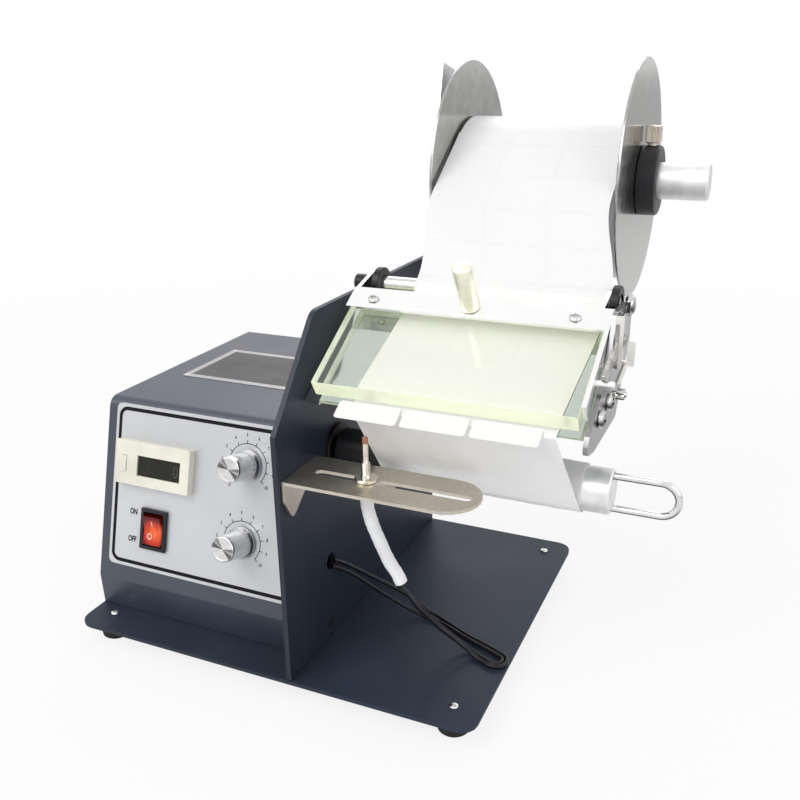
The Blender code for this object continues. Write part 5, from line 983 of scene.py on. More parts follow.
class Workshop:
    """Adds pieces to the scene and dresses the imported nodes."""

    def __init__(self, places: Places) -> None:
        """Keep the frames that pieces are placed in."""
        self.places = places

    def add(
        self,
        name: str,
        shape: Mesh,
        finish: Finish,
        body: str = "root",
        place: Matrix | None = None,
        replaces: Sequence[str] = (),
        edge: float = 0.0,
        extra: tuple[Finish, FaceTest] | None = None,
    ) -> bpy.types.Object:
        """Turn a shape into a piece of the machine.

        Args:
            name: The piece's name.
            shape: Its shape, in its own frame.
            finish: Its finish.
            body: The body that it rides on.
            place: Its frame; none is the model's own.
            replaces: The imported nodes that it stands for.
            edge: How wide its edges are rounded.
            extra: Another finish, with a test that picks its faces.

        Returns:
            The piece.
        """
        finishes = [finish]
        if extra:
            finishes.append(extra[0])
            for face in filter(extra[1], shape.faces):
                face.material_index = 1
        item = solid(name, shape, finishes)
        if place is not None:
            item.matrix_world = place
        if edge:
            self.soften(item, edge)
        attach(item, body)
        if replaces:
            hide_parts(*replaces)
        LOG.info("piece %s on %s in %s", name, body, finish.slot.value)
        return item

    def modify(self, item: bpy.types.Object, kind: str, **settings: object) -> None:
        """Add a modifier with its settings."""
        step = item.modifiers.new(kind.lower(), kind)
        for key, value in settings.items():
            setattr(step, key, value)

    def soften(self, item: bpy.types.Object, width: float) -> None:
        """Round a piece's edges to a width and keep its flats flat."""
        self.modify(item, "BEVEL", width=width, segments=3, limit_method="ANGLE", angle_limit=SMOOTH_ANGLE)
        self.modify(item, "WEIGHTED_NORMAL", keep_sharp=False)

    def extent(self, node: str, place: Matrix) -> tuple[Vector, Vector]:
        """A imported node's lowest and highest corner in a frame.

        Args:
            node: The node's name.
            place: The frame.

        Returns:
            The two corners.
        """
        inverse = place.inverted()
        axes = list(zip(*(inverse @ vertex.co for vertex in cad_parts[node].data.vertices)))
        return Vector([min(axis) for axis in axes]), Vector([max(axis) for axis in axes])

    def barrel(self, node: str, place: Matrix) -> Triple:
        """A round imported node's radius and its lowest and highest z in a frame."""
        low, high = self.extent(node, place)
        return (high.y - low.y) / 2, low.z, high.z

    def dress(self, node: str, finish: Finish, edge: float = 0.0) -> None:
        """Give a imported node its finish, and round its edges.

        Args:
            node: The node's name.
            finish: Its finish.
            edge: How wide its edges are rounded.
        """
        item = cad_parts[node]
        item.data.materials.clear()
        item.data.materials.append(finish.material())
        self.modify(item, "WELD", merge_threshold=WELD_DISTANCE)
        self.modify(item, "DECIMATE", decimate_type="DISSOLVE", angle_limit=FLAT_ANGLE)
        item.data.shade_smooth()
        if edge:
            self.soften(item, edge)
        else:
            self.modify(item, "EDGE_SPLIT", split_angle=SMOOTH_ANGLE)
        LOG.info("node %s in %s", node, finish.name)

    def carve(self, shape: Mesh, cutters: Iterable[Mesh]) -> Mesh:
        """Cut shapes out of a shape.

        Args:
            shape: What is cut.
            cutters: What is taken away.

        Returns:
            The cut shape.
        """
        items = []
        for number, part in enumerate((shape, *cutters)):
            bmesh.ops.recalc_face_normals(part, faces=part.faces)
            mesh = bpy.data.meshes.new(f"carve_{number}")
            part.to_mesh(mesh)
            part.free()
            items.append(placed(mesh.name, mesh))
        for tool in items[1:]:
            self.modify(items[0], "BOOLEAN", operation="DIFFERENCE", solver="EXACT", object=tool)
        bpy.context.view_layer.update()
        result = evaluated(items[0])
        for item in items:
            bpy.data.meshes.remove(item.data)
        return result

    def screw(self, head: float, height: float, shank: float, length: float) -> Mesh:
        """A cross-head screw whose head sits on z = 0 and points up.

        Args:
            head: The head's radius.
            height: The head's height.
            shank: The shank's radius.
            length: How far the shank reaches down.

        Returns:
            The screw's shape.
        """
        turns = (0.0, 0.25, 0.5, 0.8, 1.1, 1.35)
        crown = [(head * math.cos(turn), height * (0.35 + 0.65 * math.sin(turn))) for turn in turns]
        rise = -length + shank * 0.5
        profile = [(0.0, -length), (shank * 0.7, -length), (shank, rise)]
        pitch = shank * 0.45
        while rise + pitch < -pitch:
            profile += [(shank * 0.86, rise + pitch * 0.5), (shank, rise + pitch)]
            rise += pitch
        profile += [(shank, 0.0), (head * 0.94, 0.0), (head, height * 0.12), *crown, (0.0, height)]
        arm, half = head * 0.62, head * 0.13
        slot = [(-arm, -half), (arm, -half), (arm, half), (-arm, half)]
        floor, top = height - height * 0.6, height * 1.2
        return self.carve(
            lathe(profile, 40), [prism(slot, floor, top), prism([(-b, a) for a, b in slot], floor, top)]
        )

    def side_screw(self, name: str, node: str, sheet: str, shank: float, finish: Finish) -> None:
        """A screw whose head sits on a sheet's right face.

        Args:
            name: The piece's name.
            node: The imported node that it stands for.
            sheet: The sheet's node.
            shank: The shank's radius.
            finish: The screw's finish.
        """
        low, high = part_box(node)
        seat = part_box(sheet)[1].x + SEAT_GAP
        shape = self.screw((high.y - low.y) / 2, high.x - seat, shank, seat - low.x)
        place = Matrix.Translation((seat, (low.y + high.y) / 2, (low.z + high.z) / 2))
        self.add(name, shape, finish, place=place @ Matrix.Rotation(QUARTER, 4, "Y"), replaces=[node])


@dataclass
class Camera:
    """The photograph's viewpoint."""

    focal_px: float = 903.1
    frame_px: float = 800.0
    sensor_mm: float = 36.0
    azimuth: float = math.radians(24.286)
    elevation: float = math.radians(20.276)
    roll: float = math.radians(-0.937)
    place: Triple = (0.17785, -0.43065, 0.2829)

    def build(self) -> None:
        """Make the camera and hand it to the scene."""
        az, el = self.azimuth, self.elevation
        back = Vector((math.sin(az) * math.cos(el), -math.cos(az) * math.cos(el), math.sin(el)))
        right = Vector((math.cos(az), math.sin(az), 0.0))
        up = back.cross(right)
        c, s = math.cos(self.roll), math.sin(self.roll)
        turn = Matrix((c * right + s * up, c * up - s * right, back)).transposed().to_4x4()
        data = bpy.data.cameras.new("photo_camera")
        data.sensor_fit = "HORIZONTAL"
        data.sensor_width = self.sensor_mm
        data.lens = self.focal_px * self.sensor_mm / self.frame_px
        data.clip_start = 0.01
        item = placed("photo_camera", data)
        item.matrix_world = Matrix.Translation(self.place) @ turn
        bpy.context.scene.camera = item
        LOG.info("camera at %s", self.place)


@dataclass
class SubAssembly:
    """A group of pieces, with the workshop that makes them."""

    shop: Workshop


@dataclass
class Cords(SubAssembly):
    """The sensor's white sleeve and its two leads, which go through the side plate."""

    sleeve_radius: float = 0.0030
    shrink: float = 0.00008
    lead_radius: float = 0.0010
    blend_start: Triple = (0.0365, 0.0465, 0.0288)
    blend_end: Triple = (0.0470, 0.0220, 0.0512)
    sleeve_route: tuple[Triple, ...] = (
        (0.0340, 0.0180, 0.0959), (0.0343, 0.0180, 0.0900), (0.0362, 0.0184, 0.0820),
        (0.0393, 0.0191, 0.0735), (0.0430, 0.0202, 0.0640), (0.0463, 0.0215, 0.0575),
        (0.0480, 0.0221, 0.0531),
    )
    left_route: tuple[Triple, ...] = (
        (0.0461, 0.0223, 0.0523), (0.0464, 0.0228, 0.0500), (0.0486, 0.0254, 0.0465),
        (0.0503, 0.0312, 0.0380), (0.0517, 0.0395, 0.0283), (0.0543, 0.0478, 0.0177),
        (0.0600, 0.0535, 0.0085), (0.0668, 0.0550, 0.0032), (0.0740, 0.0525, 0.0014),
        (0.0827, 0.0487, 0.0014), (0.0852, 0.0486, 0.0014), (0.0870, 0.0504, 0.0014),
        (0.0871, 0.0529, 0.0014), (0.0853, 0.0547, 0.0014), (0.0760, 0.0586, 0.0014),
        (0.0631, 0.0636, 0.0014), (0.0535, 0.0683, 0.0014), (0.0440, 0.0715, 0.0014),
        (0.0350, 0.0720, 0.0026), (0.0268, 0.0706, 0.0066), (0.0200, 0.0672, 0.0122),
        (0.0140, 0.0618, 0.0196), (0.0090, 0.0558, 0.0274), (0.0052, 0.0500, 0.0335),
        (0.0024, 0.0453, 0.0375), (0.0009, 0.0433, 0.0390),
    )
    right_route: tuple[Triple, ...] = (
        (0.0484, 0.0217, 0.0523), (0.0488, 0.0219, 0.0500), (0.0507, 0.0233, 0.0467),
        (0.0529, 0.0286, 0.0375), (0.0549, 0.0366, 0.0273), (0.0580, 0.0442, 0.0173),
        (0.0638, 0.0493, 0.0092), (0.0705, 0.0509, 0.0034), (0.0760, 0.0490, 0.0014),
        (0.0818, 0.0466, 0.0014), (0.0860, 0.0465, 0.0014), (0.0891, 0.0495, 0.0014),
        (0.0892, 0.0537, 0.0014), (0.0862, 0.0568, 0.0014), (0.0768, 0.0609, 0.0014),
        (0.0640, 0.0657, 0.0014), (0.0545, 0.0704, 0.0014), (0.0450, 0.0747, 0.0018),
        (0.0350, 0.0765, 0.0048), (0.0255, 0.0748, 0.0112), (0.0182, 0.0702, 0.0175),
        (0.0120, 0.0640, 0.0243), (0.0070, 0.0574, 0.0312), (0.0037, 0.0516, 0.0366),
        (0.0018, 0.0474, 0.0400), (0.0009, 0.0457, 0.0410),
    )

    def build(self) -> None:
        self.station = self.shop.places.station()
        path = [self.station @ point for point in smooth_route(self.sleeve_route, 40)]
        even = self.sleeve_radius - self.shrink
        swells = (
            0.00006 * math.sin(step * 1.9) + 0.00005 * math.sin(step * 0.7) for step in range(len(path))
        )
        shape = tube(path, [even + swell for swell in swells], 28)
        sleeve = self.shop.add("shrink_sleeve", shape, Finishes.SLEEVE, "sensor", replaces=["lead_sleeve"])
        path_length(path)
        self.lead("left_lead", self.left_route, "sensor_lead_left")
        self.lead("right_lead", self.right_route, "sensor_lead_right")

    def lead(self, name: str, route: Sequence[Triple], node: str) -> None:
        """One thin lead, which bends between the base and the sensor.

        Args:
            name: The piece's name.
            route: Its route in the station frame.
            node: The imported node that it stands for.
        """
        path = [self.station @ point for point in smooth_route(route, 150)]
        item = solid(name, tube(path, self.lead_radius, 14), [Finishes.LEAD])
        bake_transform(item)
        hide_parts(node)
        path_length(path)
        LOG.info("cord %s, %.0f mm", name, path_length(path) / MM)


@dataclass
class Footing(SubAssembly):
    """Base plate on four rubber feet, each held by a cross-head screw."""

    sole: float = 0.0075
    hollow: float = 0.0016
    rim: float = 0.0006
    shank: float = 0.0015
    head: float = 0.0022

    def build(self) -> None:
        """Dress the base and make its feet and screws."""
        self.shop.dress("base_plate", Finishes.BASE_PAINT, 0.0004)
        for corner in ("front_left", "front_right", "rear_left", "rear_right"):
            self.foot(corner)
            self.screw(corner)

    def foot(self, corner: str) -> None:
        """One tapered foot with a hollow sole."""
        low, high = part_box(f"foot_{corner}")
        radius = (high.x - low.x) / 2
        height = high.z - low.z
        inner = self.sole * 0.45
        profile = [
            (0.0, self.hollow), (inner, self.hollow), (inner + 0.0004, 0.0), (self.sole - self.rim, 0.0),
            (self.sole, self.rim), (radius - 0.0001, height - self.rim), (radius - self.rim, height),
            (0.0, height),
        ]
        place = Matrix.Translation(((low.x + high.x) / 2, (low.y + high.y) / 2, low.z))
        name = f"rubber_foot_{corner}"
        self.shop.add(name, lathe(profile, 56), Finishes.RUBBER, place=place, replaces=[f"foot_{corner}"])

    def screw(self, corner: str) -> None:
        """One pan-head screw down through the base into its foot."""
        node = f"foot_screw_{corner}"
        low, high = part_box(node)
        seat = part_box("base_plate")[1].z + SEAT_GAP
        shape = self.shop.screw(self.head, (high.z - seat) * 0.8, self.shank, seat - low.z)
        place = Matrix.Translation(((low.x + high.x) / 2, (low.y + high.y) / 2, seat))
        self.shop.add(f"pan_screw_{corner}", shape, Finishes.BRIGHT_STEEL, place=place, replaces=[node])


@dataclass
class ControlCase(SubAssembly):
    """Painted case with its bare label plate, the rear panel and mains inlet, and the drive inside."""

    plug_places: tuple[Triple, ...] = ((0.0419, 0.0078, 0.0030), (0.0973, 0.0066, 0.0018))
    plate_low: Pair = (-0.1150, 0.0883)
    plate_high: Pair = (-0.0400, 0.1403)
    plate_border: float = 0.0040
    plate_thickness: float = 0.0003
    field_thickness: float = 0.00005
    rivet_inset: float = 0.0022
    socket_corner: float = 0.0015
    flange_corner: float = 0.0020
    flange: float = 0.0025
    socket_width: float = 0.0235
    socket_height: float = 0.0160
    socket_depth: float = 0.0150
    wall: float = 0.0015
    blade_pitch: float = 0.0070
    blade_width: float = 0.0020
    blade_height: float = 0.0040
    blade_length: float = 0.0110
    earth_rise: float = 0.0020

    def build(self) -> None:
        """Dress the case, the drive and the board, and make the plate and the inlet."""
        for node, finish, edge in (
            ("case_cover", Finishes.CASE_PAINT, 0.00035),
            ("rear_panel", Finishes.CASE_PAINT, 0.0002),
            ("side_plate", Finishes.PLATE_PAINT, 0.00045),
            ("drive_motor", Finishes.MOTOR, 0.0008),
            ("gearbox", Finishes.MOTOR, 0.0005),
            ("control_board", Finishes.BOARD, 0.0001),
        ):
            self.shop.dress(node, finish, edge)
        self.label_plate()
        self.plugs()
        self.inlet()

    def plugs(self) -> None:
        """Small dark plugs in the side plate's holes."""
        shapes = []
        for y, z, radius in self.plug_places:
            cap = [(radius, -0.0002), (radius, 0.00005), (radius - 0.0003, 0.00015), (0.0, 0.00015)]
            shapes.append(moved(lathe(cap, 24), Matrix.Translation((-z, y, 0.0))))
        place = self.shop.places.along_x(0.0, 0.0, 0.0)
        self.shop.add("side_plugs", merged(shapes), Finishes.BLACK, place=place)

    def label_plate(self) -> None:
        """The bare plate on the case: a dark field in a silver border, held by four rivets."""
        shop = self.shop
        spot = shop.places.station().translation
        place = Matrix.Translation((spot.x, spot.y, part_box("case_cover")[1].z))
        low, high, inset, top = self.plate_low, self.plate_high, self.plate_border, self.plate_thickness
        border = prism(rectangle(low, high, 0.0010), 0.00002, top)
        shop.add("label_plate_border", border, Finishes.PLATE_EDGE, place=place, edge=0.0001)
        outline = rectangle((low[0] + inset, low[1] + inset), (high[0] - inset, high[1] - inset), 0.0006)
        field = prism(outline, top, top + self.field_thickness)
        shop.add("label_plate_field", field, Finishes.PLATE_INK, place=place)
        dome = [(0.0011, 0.0), (0.0011, 0.0001), (0.0008, 0.0004), (0.0, 0.0005)]
        rivets = []
        for a in (low[0] + self.rivet_inset, high[0] - self.rivet_inset):
            for b in (low[1] + self.rivet_inset, high[1] - self.rivet_inset):
                rivets.append(moved(lathe(dome, 20), Matrix.Translation((a, b, top))))
        shop.add("label_plate_rivets", merged(rivets), Finishes.WIRE_STEEL, place=place)

    def inlet(self) -> None:
        """Mains inlet: flanged black body with a sunk socket and three metal blades."""
        shop = self.shop
        low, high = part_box("power_inlet")
        middle = Vector(((low.x + high.x) / 2, high.y - self.flange, (low.z + high.z) / 2))
        turn = Matrix(((-1, 0, 0, 0), (0, 0, 1, 0), (0, 1, 0, 0), (0, 0, 0, 1)))
        place = Matrix.Translation(middle) @ turn
        a, b = self.socket_width / 2, self.socket_height / 2
        floor = self.flange - self.socket_depth
        body = prism(centred(a + self.wall, b + self.wall, 0.001), self.flange - (high.y - low.y), 0.0)
        socket = prism(centred(a, b, self.socket_corner), floor, self.flange + 0.001)
        outline = centred((high.x - low.x) / 2, (high.z - low.z) / 2, self.flange_corner)
        flange = shop.carve(prism(outline, 0.0, self.flange), [socket.copy()])
        shape = merged([flange, shop.carve(body, [socket])])
        shop.add("mains_inlet", shape, Finishes.BLACK, place=place, replaces=["power_inlet"], edge=0.0002)
        half, reach = self.blade_width / 2, self.blade_height / 2
        blades = []
        for at, rise in ((-self.blade_pitch, 0.0), (0.0, self.earth_rise), (self.blade_pitch, 0.0)):
            blade = rectangle((at - half, rise - reach), (at + half, rise + reach), 0.0003)
            blades.append(prism(blade, floor, floor + self.blade_length))
        shop.add("inlet_blades", merged(blades), Finishes.WIRE_STEEL, place=place, edge=0.0002)


@dataclass
class FrontPanel(SubAssembly):
    """Printed panel on the sloping front, with the counter, the rocker switch and two dials."""

    ink: float = 0.00006
    border_inset: float = 0.0026
    border_width: float = 0.0019
    border_corner: float = 0.0042
    dial_radius: float = 0.0107
    dial_line: float = 0.00037
    dial_start: float = math.radians(230)
    dial_step: float = math.radians(27)
    dial_marks: int = 11
    tick: float = 0.0017
    figure_radius: float = 0.0149
    figure_height: float = 0.0017
    word_height: float = 0.0029
    on_at: Pair = (-0.1083, 0.0382)
    off_at: Pair = (-0.1083, 0.0235)
    key_gap: float = 0.00012
    key_travel: float = 0.0011
    tail_inset: float = 0.0022
    pane_inset: float = 0.0138
    pane_rise: float = 0.0054
    pane_width: float = 0.0267
    pane_height: float = 0.0105
    pane_depth: float = 0.0011
    pane_thickness: float = 0.0003
    digit_half: float = 0.0011
    digit_rise: float = 0.0026
    digit_line: float = 0.00042
    rocker_tilt: float = math.radians(7)
    rocker_half: float = 0.00765
    rocker_tip: float = 0.0036
    rocker_waist: float = 0.0018
    rocker_skirt: float = 0.0040
    rocker_pivot: float = 0.0020

    def build(self) -> None:
        """Dress the plate and make everything on it."""
        shop = self.shop
        self.place = shop.places.panel()
        self.low, self.high = shop.extent("face_panel", self.place)
        shop.dress("face_panel", Finishes.PANEL, 0.00015)
        self.border()
        self.words()
        self.counter()
        self.rocker()
        self.dial("length")
        self.dial("speed")

    def border(self) -> None:
        """The black line round the panel, open where it runs under the side plate."""
        inset, corner = self.border_inset, self.border_corner
        left, right = self.low.x + inset, self.high.x - 0.0003
        bottom, top = self.low.y + inset, self.high.y - inset
        line = [(right, top), *arc((left + corner, top - corner), corner, QUARTER, 2 * QUARTER, 10)]
        line += arc((left + corner, bottom + corner), corner, 2 * QUARTER, 3 * QUARTER, 10)
        line.append((right, bottom))
        self.shop.add(
            "panel_border", self.printed([line], self.border_width), Finishes.INK, place=self.place
        )

    def printed(self, lines: Sequence[Sequence[Pair]], width: float) -> Mesh:
        """Printed lines that stand a hair above the panel's face."""
        face = self.high.z
        return merged(strip(line, width, face, face + self.ink) for line in lines)

    def figure(self, words: str, spot: Pair, height: float, weight: float, narrow: float) -> Mesh:
        """Printed letters or figures round a spot on the panel's face.

        Args:
            words: What they say.
            spot: Their middle.
            height: How tall a capital is.
            weight: How much each stroke grows on either side.
            narrow: How wide they are, as a factor.

        Returns:
            The letters' shape.
        """
        place = Matrix.Translation((*spot, self.high.z)) @ Matrix.Diagonal((narrow, 1.0, 1.0, 1.0))
        return moved(lettering(words, height, self.ink, weight), place)

    def words(self) -> None:
        """ON and OFF beside the switch."""
        for words, spot in (("ON", self.on_at), ("OFF", self.off_at)):
            shape = moved(self.figure(words, spot, self.word_height, 0.00014, 0.72), self.place)
            self.shop.add(f"print_{words.lower()}", shape, Finishes.INK)

    def dial(self, name: str) -> None:
        """One knob and the scale printed round it.

        Args:
            name: The dial's name.
        """
        shop = self.shop
        low, high = shop.extent(f"{name}_knob", self.place)
        centre = ((low.x + high.x) / 2, (low.y + high.y) / 2)
        middle = Vector(centre)
        end = self.dial_start - self.dial_step * (self.dial_marks - 1)
        lines = [arc(centre, self.dial_radius, self.dial_start, end, 60)]
        figures = []
        for mark in range(self.dial_marks):
            turn = self.dial_start - self.dial_step * mark
            out = Vector((math.cos(turn), math.sin(turn)))
            ends = (self.dial_radius - self.dial_line / 2, self.dial_radius + self.tick)
            lines.append([tuple(middle + out * reach) for reach in ends])
            spot = middle + out * self.figure_radius
            figures.append(self.figure(str(mark), spot, self.figure_height, 0.00004, 0.8))
        scale = merged([self.printed(lines, self.dial_line), *figures])
        shop.add(f"{name}_dial_scale", scale, Finishes.INK, place=self.place)
        skirt = (high.x - low.x) / 2
        height = high.z - low.z
        profile = [
            (0.0, 0.0), (skirt - 0.0003, 0.0), (skirt, 0.0003), (skirt, 0.0009), (skirt - 0.0004, 0.0014),
            (0.0075, 0.0020), (0.00722, 0.0023), (0.00718, 0.0030), (0.00655, height - 0.0016),
            (0.0064, height - 0.0007), (0.0061, height - 0.00015), (0.0058, height), (0.0052, height),
            (0.0050, height - 0.00015), (0.0, height - 0.00025),
        ]
        at = self.place @ Matrix.Translation((*centre, low.z))
        knob = lathe(profile, 96)
        shop.add(f"{name}_control", knob, Finishes.KNOB_ALUMINIUM, f"{name}_dial", at, [f"{name}_knob"])
        shop.dress(f"{name}_potentiometer", Finishes.MOTOR)

    def counter(self) -> None:
        """Counter module with its sunk display and the reset button."""
        shop = self.shop
        low, high = shop.extent("counter_housing", self.place)
        key_low, key_high = shop.extent("reset_button", self.place)
        left, bottom, front = low.x + self.pane_inset, low.y + self.pane_rise, high.z
        right, top = left + self.pane_width, bottom + self.pane_height
        seat = self.high.z + 0.00002
        floor = front - self.pane_depth
        pocket = inset(key_low, key_high, -self.key_gap, 0.0007)
        cuts = [
            prism(pocket, key_low.z - self.key_travel, front + 0.001),
            prism(rectangle((left, bottom), (right, top), 0.0002), floor, front + 0.001),
        ]
        bezel = prism(inset(low, high, 0.0, 0.0009), seat, front)
        tail = prism(inset(low, high, self.tail_inset), low.z, seat + 0.0002)
        shape = merged([shop.carve(bezel, cuts), tail])
        shop.add(
            "counter_case", shape, Finishes.CREAM, place=self.place, replaces=["counter_housing"],
            edge=0.0003
        )
        outline = inset((left, bottom), (right, top), 0.0001)
        pane = prism(outline, floor + 0.00002, floor + self.pane_thickness)
        shop.add("display_pane", pane, Finishes.GLASS, place=self.place, edge=0.0001)
        digit = merged(self.digit(right - 0.0031, bottom + self.pane_height / 2))
        lift = Matrix.Translation((0.0, 0.0, floor + self.pane_thickness))
        shop.add("display_digit", moved(digit, lift), Finishes.SEGMENT, place=self.place)
        key = prism(inset(key_low, key_high, 0.0, 0.0006), key_low.z, key_high.z)
        shop.add("reset_key", key, Finishes.CREAM, "reset", self.place, ["reset_button"], 0.0003)

    def digit(self, a: float, b: float) -> list[Mesh]:
        """The six outer bars of one display digit, centred on a point."""
        half, rise, gap = self.digit_half, self.digit_rise, self.digit_line * 0.7
        bars = []
        for side in (-1, 1):
            bars.append(((a - half + gap, b + side * rise), (a + half - gap, b + side * rise)))
            for up in (-1, 1):
                bars.append(((a + side * half, b + up * gap), (a + side * half, b + up * (rise - gap))))
        return [strip(line, self.digit_line, 0.0, 0.00002) for line in bars]

    def rocker(self) -> None:
        """The clear red rocker with its I and O."""
        shop = self.shop
        shop.dress("rocker_bezel", Finishes.BLACK)
        low, high = shop.extent("rocker_bezel", self.place)
        middle = (low + high) / 2
        pivot = Matrix.Translation((middle.x, middle.y, high.z - self.rocker_pivot))
        turn = self.place @ pivot @ Matrix.Rotation(self.rocker_tilt, 4, "X")
        wide, _ = shop.extent("rocker_button", turn)
        half, steps = self.rocker_half, 24
        heights = [half - 2 * half * step / steps for step in range(steps + 1)]
        outline = [(-half, -self.rocker_skirt), (half, -self.rocker_skirt)]
        outline += [(height, self.crown(height)) for height in heights]
        across = Matrix(((0, 0, 1, 0), (1, 0, 0, 0), (0, 1, 0, 0), (0, 0, 0, 1)))
        shape = moved(prism(outline, wide.x, -wide.x), across)
        shop.add("red_rocker", shape, Finishes.ROCKER_RED, "rocker", turn, ["rocker_button"], 0.0004)
        ring = lathe([(0.0010, 0.0), (0.0017, 0.0), (0.0017, self.ink), (0.0010, self.ink)], 32, ring=True)
        line = prism(centred(0.00032, 0.0014), 0.0, self.ink)
        marks = merged([self.on_crown(ring, -0.0016, -0.0032), self.on_crown(line, 0.0, 0.0038)])
        shop.add("rocker_marks", marks, Finishes.SWITCH_MARK, "rocker", turn)

    def crown(self, up: float) -> float:
        """How far the rocker's hollow face stands out at a height."""
        return self.rocker_waist + (self.rocker_tip - self.rocker_waist) * (abs(up) / self.rocker_half) ** 1.4

    def on_crown(self, shape: Mesh, across: float, up: float) -> Mesh:
        """Lay a mark on the rocker's hollow face."""
        for vertex in shape.verts:
            a, b = vertex.co.x + across, vertex.co.y + up
            vertex.co = (a, b, self.crown(b) + vertex.co.z + 0.00002)
        return shape


@dataclass
class TakeUp(SubAssembly):
    """Driven shaft that winds up the backing, its bearing and the wire clip."""

    shaft_start: float = 0.0040
    black_end: float = 0.0300
    journal: float = 0.0050
    bearing_bore: float = 0.0052
    bearing_body: float = 0.0090
    bearing_flange: float = 0.0018
    clip_half: float = 0.0076
    clip_wire: float = 0.00160
    clip_play: float = 0.0003
    clip_bore: float = 0.012
    wound_bore: float = 0.0103
    wound_steps: int = 26

    def build(self) -> None:
        """Make the shaft, the clip, the bearing and the wound backing."""
        shop = self.shop
        place = shop.places.along_x(0.0, *SHAFT_AXIS)
        radius, low, end = shop.barrel("take_up_shaft", place)
        start = self.shaft_start
        profile = [
            (0.0, low), (self.journal, low), (self.journal, start), (radius - 0.0004, start),
            (radius, start + 0.0004), (radius, self.black_end), (radius, end - 0.0007),
            (radius - 0.0007, end), (0.0013, end), (0.0, end - 0.0012),
        ]
        bores = []
        for at in (-self.clip_half, self.clip_half):
            outline = circle((at, 0.0), self.clip_wire + self.clip_play, 24)
            bores.append(prism(outline, end - self.clip_bore, end + 0.002))
        shape = shop.carve(lathe(profile, 96), bores)
        finish, node = Finishes.ROD_ALUMINIUM, "take_up_shaft"
        # The shaft's left end is painted black as shade.
        shop.add("winding_shaft", shape, finish, "take_up", place, [node], extra=blackened(self.black_end))
        self.clip(place)
        self.bearing(place)
        self.backing(place)

    def clip(self, place: Matrix) -> None:
        """The U of bright wire whose legs hold the backing in the shaft."""
        low, high = self.shop.extent("wire_clip", place)
        half = self.clip_half
        bend = high.z - self.clip_wire - half
        middle = (low.z + bend) / 2
        line = [(-half, low.z), (-half, middle), *arc((0.0, bend), half, math.pi, 0.0, 32)]
        line += [(half, middle), (half, low.z)]
        shape = tube([(a, 0.0, b) for a, b in line], self.clip_wire, 24)
        self.shop.add("spring_clip", shape, Finishes.CLIP_STEEL, "clip", place, ["wire_clip"])

    def bearing(self, place: Matrix) -> None:
        """Flanged bronze bearing in the side plate."""
        flange, low, high = self.shop.barrel("shaft_bearing", place)
        bore, body, seat = self.bearing_bore, self.bearing_body, high - self.bearing_flange
        profile = [
            (bore, low), (body, low), (body, seat), (flange, seat), (flange, high - 0.0003),
            (flange - 0.0003, high), (bore + 0.0004, high), (bore, high - 0.0004),
        ]
        shape = lathe(profile, 64, ring=True)
        self.shop.add("flanged_bearing", shape, Finishes.BRONZE, "root", place, ["shaft_bearing"])

    def backing(self, place: Matrix) -> None:
        """The turns of backing on the shaft, a little uneven from hand winding."""
        radius, low, high = self.shop.barrel("wound_backing", place)
        outer = radius - 0.0001
        profile = [(self.wound_bore, low)]
        for step in range(self.wound_steps + 1):
            swell = 0.00009 * math.sin(step * 1.7) + 0.00006 * math.sin(step * 0.6 + 1.0)
            profile.append((outer - 0.00015 + swell, low + (high - low) * step / self.wound_steps))
        profile.append((self.wound_bore, high))
        shape = lathe(profile, 80, ring=True)
        self.shop.add(
            "backing_turns", shape, Finishes.LINER, "take_up", place, ["wound_backing"], extra=WOUND_ENDS
        )


@dataclass
class LabelRoll(SubAssembly):
    """The roll of labels on its card core."""

    edge: float = 0.0003
    bore: float = 0.0221
    card: float = 0.0020

    def build(self) -> None:
        """Make the roll and the core."""
        shop = self.shop
        place = shop.places.along_x(0.0, *ROLL_AXIS)
        outer, low, high = shop.barrel("label_roll", place)
        shape = lathe(drum(self.bore, outer, low, high, self.edge), 160, ring=True)
        shop.add("paper_roll", shape, Finishes.LABELS, "roll", place, ["label_roll"], extra=WOUND_ENDS)
        outer, low, high = shop.barrel("roll_core", place)
        bore = outer - self.card
        shape = lathe([(bore, low), (outer, low), (outer, high), (bore, high)], 96, ring=True)
        shop.add("card_core", shape, Finishes.CARD, "roll", place, ["roll_core"])


